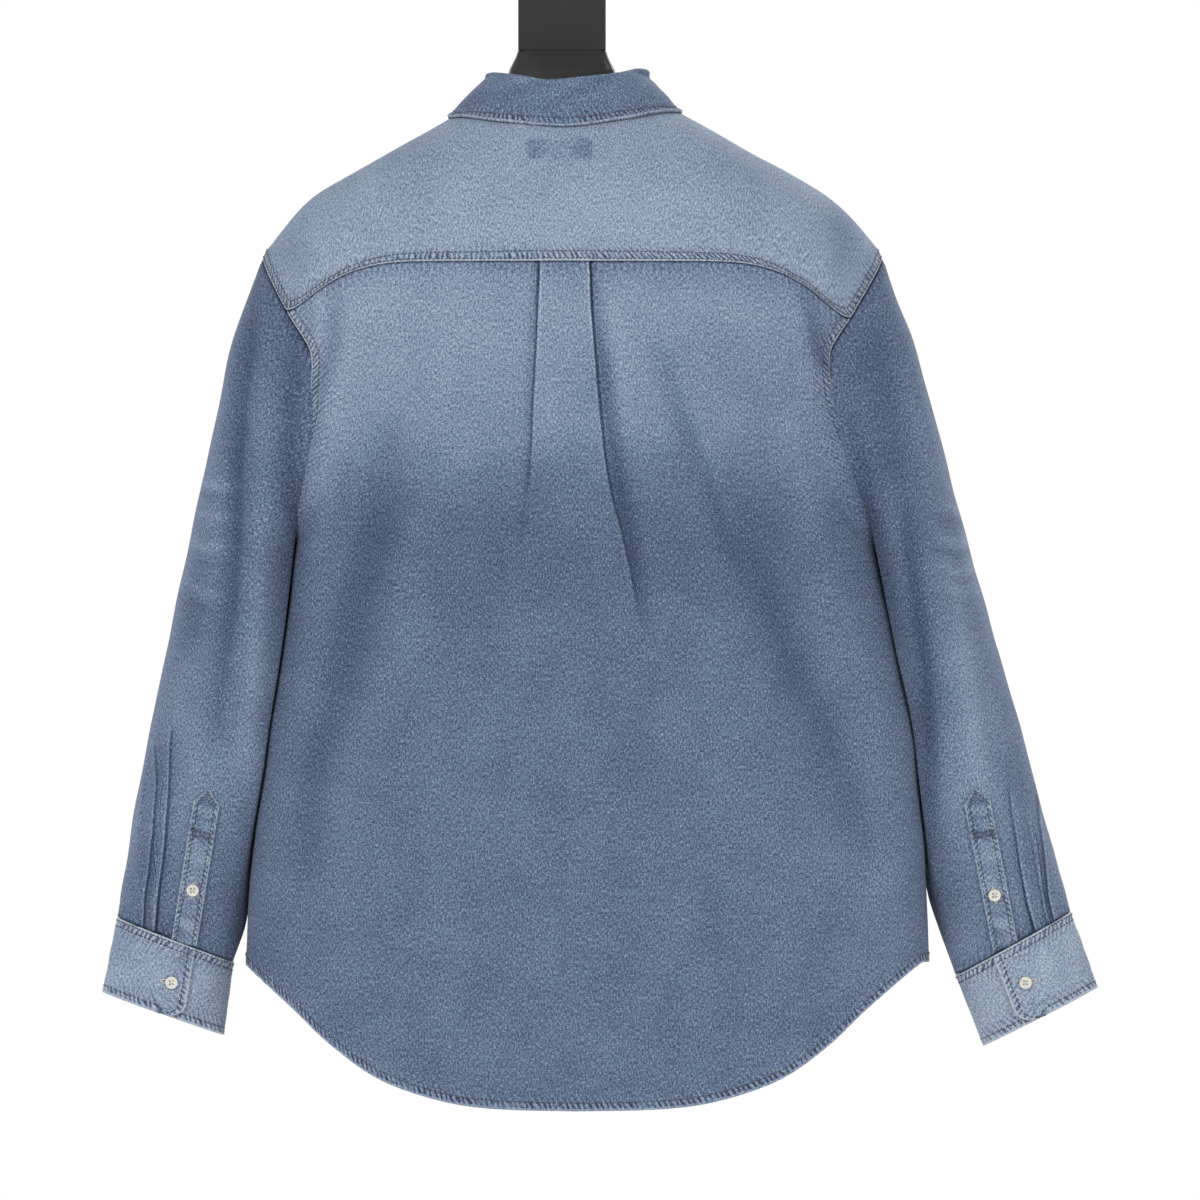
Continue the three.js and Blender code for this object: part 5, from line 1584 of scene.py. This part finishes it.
CUFF_ENDS = {
    1: {"out_x": 369.6, "out_z": -834, "in_x": 274.4, "in_z": -868, "y": -14, "depth": 25},
    -1: {"out_x": 425.6, "out_z": -830.5, "in_x": 336, "in_z": -876.5, "y": -14, "depth": 25},
}
CUFF_HEIGHT = 62.0
CUFF_CORNER = 15.0
CUFF_RADIUS = 38.0
CUFF_OVERLAP = 24.0
CUFF_LAP_X = {1: 300.0, -1: -350.0}


def cuff_oval(side, turn, down):
    top = SLEEVE[side](SLEEVE_RINGS)
    end = CUFF_ENDS[side]
    p = {name: lerp(float(top[name]), end[name], down) for name in SLEEVE_COLUMNS}
    return vec(
        side * ((p["in_x"] + p["out_x"]) / 2 + (p["out_x"] - p["in_x"]) / 2 * np.cos(turn)),
        p["y"] + p["depth"] * np.sin(turn),
        (p["in_z"] + p["out_z"]) / 2 + (p["out_z"] - p["in_z"]) / 2 * np.cos(turn),
    )


def outward(at, u, v, middle):
    p = at(u, v)
    normal = unit(np.cross(at(u + 0.01, v) - p, at(u, v + 0.01) - p))
    flip = np.sign(np.sum(normal * (p - middle), axis=-1, keepdims=True))
    return normal * flip


def locate(at, x, z, u, v):
    """The two numbers of a surface at which it is seen at x and z, on the back."""
    for _ in range(30):
        p = at(u, v)
        pu = (at(u + 0.002, v) - p) / 0.002
        pv = (at(u, v + 0.002) - p) / 0.002
        across = pu[..., 0] * pv[..., 2] - pv[..., 0] * pu[..., 2]
        det = np.where(np.abs(across) < 1, 1, across)
        ex, ez = x - p[..., 0], z - p[..., 2]
        u = np.clip(u + np.clip((ex * pv[..., 2] - pv[..., 0] * ez) / det, -0.1, 0.1), 0.3, 2.9)
        v = np.clip(v + np.clip((pu[..., 0] * ez - ex * pu[..., 2]) / det, -0.3, 0.3), 0, SLEEVE_RINGS + 0.2)
    return u, v


def on_sleeve(side, x, z):
    x, z = np.broadcast_arrays(np.asarray(x, float), np.asarray(z, float))
    return locate(lambda u, v: sleeve_point(side, u, v), x, z, np.full(x.shape, 1.7), np.full(x.shape, 9.5))


def on_cuff(side, x, z):
    x, z = np.broadcast_arrays(np.asarray(x, float), np.asarray(z, float))
    return locate(lambda u, v: cuff_oval(side, u, v), x, z, np.full(x.shape, 1.7), np.full(x.shape, 0.5))


def ring_middle(side, ring):
    return (sleeve_point(side, 0 * ring, ring) + sleeve_point(side, 0 * ring + PI, ring)) / 2


CUFF_LAP_TURN = {side: float(on_cuff(side, CUFF_LAP_X[side], -824.0)[0]) for side in (1, -1)}


def cuff_point(side, along, down):
    lap = CUFF_OVERLAP / CUFF_RADIUS
    full = 2 * PI + lap
    low = np.maximum(0, down * CUFF_HEIGHT - (CUFF_HEIGHT - CUFF_CORNER))
    back = (CUFF_CORNER - np.sqrt(np.maximum(0, CUFF_CORNER**2 - low**2))) / CUFF_RADIUS
    turn = CUFF_LAP_TURN[side] - lap + along - back * smooth((along - (full - 0.6)) / 0.6)
    middle = (cuff_oval(side, 0.0, down) + cuff_oval(side, PI, down)) / 2
    over = smooth((along - (2 * PI - 0.55)) / 0.5)[..., None]
    return cuff_oval(side, turn, down) + outward(
        lambda u, v: cuff_oval(side, u, v), turn, down, middle
    ) * over * (DOUBLED + 0.5)


def build_cuff(side, word):
    full = 2 * PI + CUFF_OVERLAP / CUFF_RADIUS
    down = steps(40, 0.006, 1)[:, None]
    along = steps(190, 0, full)[None]
    grid = cuff_point(side, along + 0 * down, down + 0 * along)
    grid = grid if side > 0 else grid[:, ::-1]
    drop, across = run_lengths(grid)
    seam = nearest_seam(grid, ["top", "bottom", "start", "end"])
    along_s, away = seam[..., 0], seam[..., 1]
    ridge = hump(away, 5.5, 1.0)
    relief = 0.45 * puckers(along_s, away, 6.5, 7, 81) - 0.35 * ridge + 0.25 * waves(across, drop, 26, 82, 12)
    tone = (0.685 if side > 0 else 0.73) + 0.03 * waves(across, drop, 30, 83, 12) - 0.03 * hump(away, 0, 9)
    name, uv = f"cuff_{word}", flat_along(grid, sleeve_axis(side))
    face = cloth_piece(name, name, grid, DOUBLED, relief, tone, seam, 1.0, uv=uv)
    sew(name, face, [("bottom", 5.6), ("start", 5.6), ("end", 5.6), ("top", 1.8), ("top", 6.4)])
    return face


SLEEVE_PLACKETS = {
    1: {"top": (283.5, -671), "end": (304.5, -795)},
    -1: {"top": (-326, -670), "end": (-352, -798)},
}
SLEEVE_PLACKET_WIDTH = 20.0
SLEEVE_PLACKET_ROWS = 70
SLEEVE_PLACKET_COLUMNS = 14
PLACKET_BAR = 0.27
SLEEVE_PLACKET_LIFT = CLOTH + 0.75


def sleeve_placket_grid(side):
    top = np.array(SLEEVE_PLACKETS[side]["top"], float)
    end = np.array(SLEEVE_PLACKETS[side]["end"], float)
    length = np.linalg.norm(end - top)
    way = (end - top) / length
    down = steps(SLEEVE_PLACKET_ROWS, 0, length - 1)[:, None]
    half = lerp(1, SLEEVE_PLACKET_WIDTH / 2, np.minimum(1, down / 11))
    away = half * steps(SLEEVE_PLACKET_COLUMNS, -1, 1)[None]
    x = top[0] + way[0] * down - way[1] * away
    z = top[1] + way[1] * down + way[0] * away
    turn, ring = on_sleeve(side, x, z)
    ring = np.minimum(ring, SLEEVE_RINGS - 0.03)

    def at(u, v):
        return sleeve_point(side, u, v)

    p = at(turn, ring) + outward(at, turn, ring, ring_middle(side, ring)) * SLEEVE_PLACKET_LIFT
    return p[:, ::-1]


def build_sleeve_placket(side, word):
    grid = sleeve_placket_grid(side)
    down, across = run_lengths(grid)
    seam = nearest_seam(grid, ["start", "end", "top"])
    away = seam[..., 1]
    bands = waves(across * 0.25, down, 13, 93, 9)
    relief = 0.35 * puckers(seam[..., 0], away, 7, 6, 91) + 0.4 * bands * smooth(away / 4)
    relief += 0.5 * smooth((3.4 - away) / 1.5)
    bar = hump(down, PLACKET_BAR * down[-1:], 1.6)
    tone = 0.53 + 0.10 * bands * smooth(away / 3.5) + 0.03 * smooth(down / 60) - 0.14 * bar
    # The band of stitches is narrow here.
    seam = seam * [1.0, 1.6]
    name = f"sleeve_placket_{word}"
    face = cloth_piece(name, name, grid, CLOTH, relief, tone, seam, 0.75)
    row = int(len(grid) * PLACKET_BAR)
    bar_rows = [(face[0][at], face[1][at]) for at in (row, row + 2)]
    sew(name, face, [("start", 4.0), ("end", 4.0), *bar_rows])
    return face


# Collar

STAND_TOP = {
    "half": 54,
    "back": 54,
    "front": 62,
    "left_z": -104,
    "right_z": -101,
    "back_z": -109,
    "front_z": -170,
}
STAND_DIP = 2.6
STAND_LAP = 0.24
STAND_SIT = CLOTH / 2 + SEAM_GAP + 0.6
LEAF_LIFT = CLOTH / 2 + DOUBLED / 2 + 0.6
LEAF_BULGE = 3.0
leaf_edge = sections(
    ["x", "y"],
    [
        [-1.47, 52, -86],
        [-1.1, 70, -72],
        [-0.65, 85, -46],
        [0, 92, -4],
        [0.6, 86, 21],
        [1.1, 52, 49],
        [PI / 2, 0, 61],
        [PI - 1.1, -51, 47],
        [PI - 0.6, -85, 18],
        [PI, -92, -4],
        [PI + 0.65, -85, -46],
        [PI + 1.1, -70, -72],
        [PI + 1.47, -52, -86],
    ],
)


def stand_top(turn):
    c, s = np.cos(turn), np.sin(turn)
    depth = np.where(s >= 0, STAND_TOP["back"], STAND_TOP["front"])
    middle_z = np.where(s >= 0, STAND_TOP["back_z"], STAND_TOP["front_z"])
    side_z = lerp(STAND_TOP["right_z"], STAND_TOP["left_z"], 0.5 + 0.5 * c)
    x = STAND_TOP["half"] * c
    dip = STAND_DIP * hump(x, 11, 17) * smooth(s * 2)
    return vec(x, depth * s, lerp(side_z, middle_z, np.abs(s) ** 1.7) - dip)


def stand_point(turn, k):
    low, high = neck_seam(turn), stand_top(turn)
    rise = unit(high - low)
    p = lerp(low, high, k[..., None]) + rise * (STAND_SIT * (1 - k))[..., None]
    under = smooth((turn - (1.5 * PI - STAND_LAP - 0.3)) / 0.25)
    out = vec(np.cos(turn), np.sin(turn), 0 * turn)
    return p + out * (np.sin(PI * k) * 1.5 - under * (DOUBLED + 0.5))[..., None]


def build_stand():
    last = 1.5 * PI + math.asin((FRONT_EDGE_X - 0.18) / NECK_HALF_WIDTH)
    turn = steps(240, -PI / 2 - STAND_LAP, last)[None]
    k = steps(14, 1, 0)[:, None]
    grid = stand_point(turn + 0 * k, k + 0 * turn)
    down, across = run_lengths(grid)
    seam = nearest_seam(grid, ["bottom", "start", "end"])
    relief = 0.3 * puckers(seam[..., 0], seam[..., 1], 7, 5, 95) * smooth(seam[..., 1] / 2)
    tone = 0.5 + 0.03 * waves(across, down, 30, 96, 12)
    cloth_piece("collar_stand", "collar_stand", grid, DOUBLED, relief, tone, seam, 0.8)


def clear_torso(p, distance):
    """Points moved straight out of the torso until they stand clear of it by a distance."""
    for _ in range(4):
        x, y, z = p[..., 0], p[..., 1], p[..., 2]
        f = level(x, y, z)
        rise = vec(level(x + 0.1, y, z) - f, level(x, y + 0.1, z) - f, level(x, y, z + 0.1) - f) * 10
        slope = np.linalg.norm(rise, axis=-1)
        short = np.maximum(0, distance - f / slope)
        p = p + rise * (short / slope)[..., None]
    return p


def leaf_point(turn, k):
    fold = stand_top(turn)
    edge = leaf_edge(turn)
    foot = torso_point(*on_torso_top(edge["x"], edge["y"]))
    toward = unit(vec(edge["x"] - fold[..., 0], edge["y"] - fold[..., 1], 0 * turn))
    start = fold + UP * (SEAM_GAP + 2.6)
    crest = fold + UP * 4.8 + toward * 3.6
    rise = clamp01(k / 0.1)[..., None]
    first = lerp(start, crest, rise) + UP * 1.2 * np.sin(PI * rise)
    run = clamp01((k - 0.1) / 0.9)
    bulge = toward * (LEAF_BULGE * np.sin(PI * run).clip(0) ** 0.8)[..., None]
    later = clear_torso(lerp(crest, foot, run[..., None]) + bulge, LEAF_LIFT + 0.4 * (1 - run))
    return np.where((k < 0.1)[..., None], first, later)


def build_leaf():
    k = np.concatenate([steps(6, 0, 0.1)[:-1], steps(38, 0.1, 1)])[:, None]
    turn = steps(250, -1.47, PI + 1.47)[None]
    grid = leaf_point(turn + 0 * k, k + 0 * turn)
    for _ in range(2):
        grid[1:-1] = grid[1:-1] * 0.5 + (grid[:-2] + grid[2:]) * 0.25
    down, across = run_lengths(grid)
    seam = nearest_seam(grid, ["bottom", "start", "end"])
    along, away = seam[..., 0], seam[..., 1]
    relief = 0.45 * puckers(along, away, 7.5, 9, 97) * smooth(away / 2)
    relief += 0.5 * np.exp(-((away / 4.5) ** 4)) + 0.3 * waves(across, down, 40, 98, 10) * smooth(down / 10)
    tone = 0.45 + 0.03 * waves(across, down, 45, 99, 12) + 0.03 * hump(away, 0, 9)
    tone += 0.04 * hump(down, 0, 5)
    face = cloth_piece("collar_leaf", "collar_leaf", grid, DOUBLED, relief, tone, seam, 1.0)
    sew("collar_leaf", face, [("bottom", 6.0), ("start", 6.0), ("end", 6.0)])


SIDES = ((1, "left"), (-1, "right"))
build_yoke(build_back())
for side, word in SIDES:
    build_front(side, word)
placket = build_placket()
for side, word in SIDES:
    build_sleeve(side, word)
cuffs = {word: build_cuff(side, word) for side, word in SIDES}
sleeve_plackets = {word: build_sleeve_placket(side, word) for side, word in SIDES}
build_stand()
build_leaf()

# Buttons, with rim, dish and four holes, sewn on with crossed thread

BUTTON_HOLE = 0.95
BUTTON_RINGS = 26
BUTTON_STEPS = 56


def button_frame(node):
    """Middle, axes (outwards last), radius and thickness of a button, from its solid."""
    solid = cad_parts[node]
    points = np.array([solid.matrix_world @ v.co for v in solid.data.vertices]) * 1000
    middle = (points.min(axis=0) + points.max(axis=0)) / 2
    axes = np.linalg.eigh(np.cov((points - middle).T))[1]
    outward_y = -1 if node.startswith(("front", "collar")) else 1
    out = axes[:, 0] * np.sign(axes[1, 0]) * outward_y
    across = unit(np.cross(UP, out))
    rise = np.cross(out, across)
    flat = (points - middle) @ np.stack([across, rise, out], axis=1)
    return middle, np.stack([across, rise, out]), np.abs(flat[:, :2]).max(), np.ptp(flat[:, 2])


def build_button(node):
    middle, axes, radius, thick = button_frame(node)
    spacing = radius * 0.26
    holes = [(sx * spacing, sy * spacing) for sx in (1, -1) for sy in (1, -1)]
    r = radius * steps(BUTTON_RINGS)[:, None]
    turn = 2 * PI * np.arange(BUTTON_STEPS)[None] / BUTTON_STEPS
    px, py = r * np.cos(turn), r * np.sin(turn)
    share = r / radius + 0 * turn
    top = thick / 2 - 0.55 * smooth((0.74 - share) / 0.14) - 0.8 * smooth((share - 0.86) / 0.14) ** 2
    for hx, hy in holes:
        top = top - 1.3 * smooth((BUTTON_HOLE - np.hypot(px - hx, py - hy)) / 0.35)
    low = -thick / 2 + 0.5 * smooth((share - 0.8) / 0.2) ** 2
    face = np.stack([px, py, np.maximum(top, low + 0.1)], axis=-1)
    under = np.stack([px, py, low], axis=-1)
    points = np.concatenate([face.reshape(-1, 3), under.reshape(-1, 3)]) @ axes + middle
    index = np.arange((BUTTON_RINGS + 1) * BUTTON_STEPS).reshape(BUTTON_RINGS + 1, BUTTON_STEPS)
    after = np.roll(index, -1, axis=1)
    upper = np.stack([index[:-1], index[1:], after[1:], after[:-1]], axis=-1).reshape(-1, 4)
    lower = upper[:, ::-1] + index.size
    rim = np.stack([index[-1], index[-1] + index.size, after[-1] + index.size, after[-1]], axis=-1)
    dress(raw_mesh(f"{node}_pearl", points, np.concatenate([upper, lower, rim])), PEARL, node, slot="button")
    runs = []
    for a, b in ((holes[0], holes[3]), (holes[1], holes[2])):
        for shift in (-0.25, 0.25):
            ends = np.array([[a[0] + shift, a[1], 0], [b[0] + shift, b[1], 0]]) * 1.1
            line = (ends + [0, 0, thick / 2 - 0.5]) @ axes + middle
            runs.append((line, np.repeat(axes[2][None], 2, axis=0)))
    span = 2 * spacing * 1.41 * 1.1
    stitches(f"{node}_thread", runs, CREAM_THREAD, pitch=span, length=span * 0.66, radius=0.3)
    return middle, axes


BUTTONHOLE_WIDTH = 2.6


def build_buttonhole(name, middle, axes, tilt, face, length=15.0, shift=0.0):
    """The stitched rim of a buttonhole, laid on the cloth's face round its button."""
    turn = steps(60, 0, 2 * PI)
    u = length / 2 * np.sign(np.cos(turn)) * np.abs(np.cos(turn)) ** 0.55 + shift
    v = BUTTONHOLE_WIDTH / 2 * np.sin(turn)
    c, s = math.cos(tilt), math.sin(tilt)
    flat = np.stack([u * s + v * c, u * c - v * s, 0 * u], axis=-1) @ axes + middle
    points, normals = face[0].reshape(-1, 3), face[1].reshape(-1, 3)
    outer = normals @ axes[2] > 0.5
    points, normals = points[outer], normals[outer]
    near = np.linalg.norm((flat[:, None] - points[None]) * [1.0, 0.6, 1.0], axis=-1).argmin(axis=1)
    ups, gap = normals[near], flat - points[near]
    flat[:, 1] = points[near, 1] - (gap[:, 0] * ups[:, 0] + gap[:, 2] * ups[:, 2]) / ups[:, 1]
    ring_cord(name, flat, ups)


buttons = {node: build_button(node) for node in sorted(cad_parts) if "button" in node}
for side, word in SIDES:
    name, tilt = f"placket_buttonhole_{word}", 0.13 if side > 0 else -0.24
    build_buttonhole(name, *buttons[f"placket_button_{word}"], tilt, sleeve_plackets[word], length=13.0)
    name, tilt = f"cuff_buttonhole_{word}", PI / 2 + 0.22 * side
    build_buttonhole(name, *buttons[f"cuff_button_{word}"], tilt, cuffs[word], length=14.0, shift=-2.2 * side)
for count in range(1, 8):
    build_buttonhole(f"front_buttonhole_{count}", *buttons[f"front_button_{count}"], 0.0, placket)

for name in ("hanger_bar", "hanger_bust"):
    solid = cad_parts[name]
    solid.data.materials.clear()
    solid.data.materials.append(HANGER)

# Floor, light and camera

floor_mesh = bpy.data.meshes.new("floor")
size = 3.0
floor_z = -1.75
corners = [(-size, -size, floor_z), (size, -size, floor_z), (size, size, floor_z), (-size, size, floor_z)]
floor_mesh.from_pydata(corners, [], [(0, 1, 2, 3)])
floor = bpy.data.objects.new("floor", floor_mesh)
bpy.context.scene.collection.objects.link(floor)
pale = {"Base Color": (0.9, 0.9, 0.9, 1.0), "Roughness": 0.9}
floor_mesh.materials.append(Nodes("pale_floor").principled(pale))

world = bpy.data.worlds.new("studio")
bpy.context.scene.world = world
world.use_nodes = True
sky = world.node_tree.nodes["Background"]
sky.inputs["Color"].default_value = (1.0, 1.0, 1.0, 1.0)
sky.inputs["Strength"].default_value = 1.0


def area_light(name, place, aim, size, watts):
    data = bpy.data.lights.new(name, "AREA")
    data.shape = "SQUARE"
    data.size = size
    data.energy = watts
    light = bpy.data.objects.new(name, data)
    bpy.context.scene.collection.objects.link(light)
    light.location = place
    light.rotation_euler = (Vector(aim) - Vector(place)).to_track_quat("-Z", "Y").to_euler()


# The back and the front each have a soft key light and a weak fill light.
for facing, word in ((1, "back"), (-1, "front")):
    area_light(f"key_{word}", (facing * 2.5, facing * 4.2, 2.2), (0, 0, -0.5), 1.5, 205)
    area_light(f"fill_{word}", (facing * -3.4, facing * 3.8, 0.2), (0, 0, -0.5), 1.5, 85)

camera_data = bpy.data.cameras.new("camera")
camera_data.sensor_width = 36.0
camera_data.lens = 450.0
camera = bpy.data.objects.new("camera", camera_data)
bpy.context.scene.collection.objects.link(camera)
camera.location = (-0.028, 12.0, -0.52)
camera.rotation_euler = (PI / 2, 0.0, PI)
bpy.context.scene.camera = camera
bpy.context.scene.view_settings.view_transform = "Standard"

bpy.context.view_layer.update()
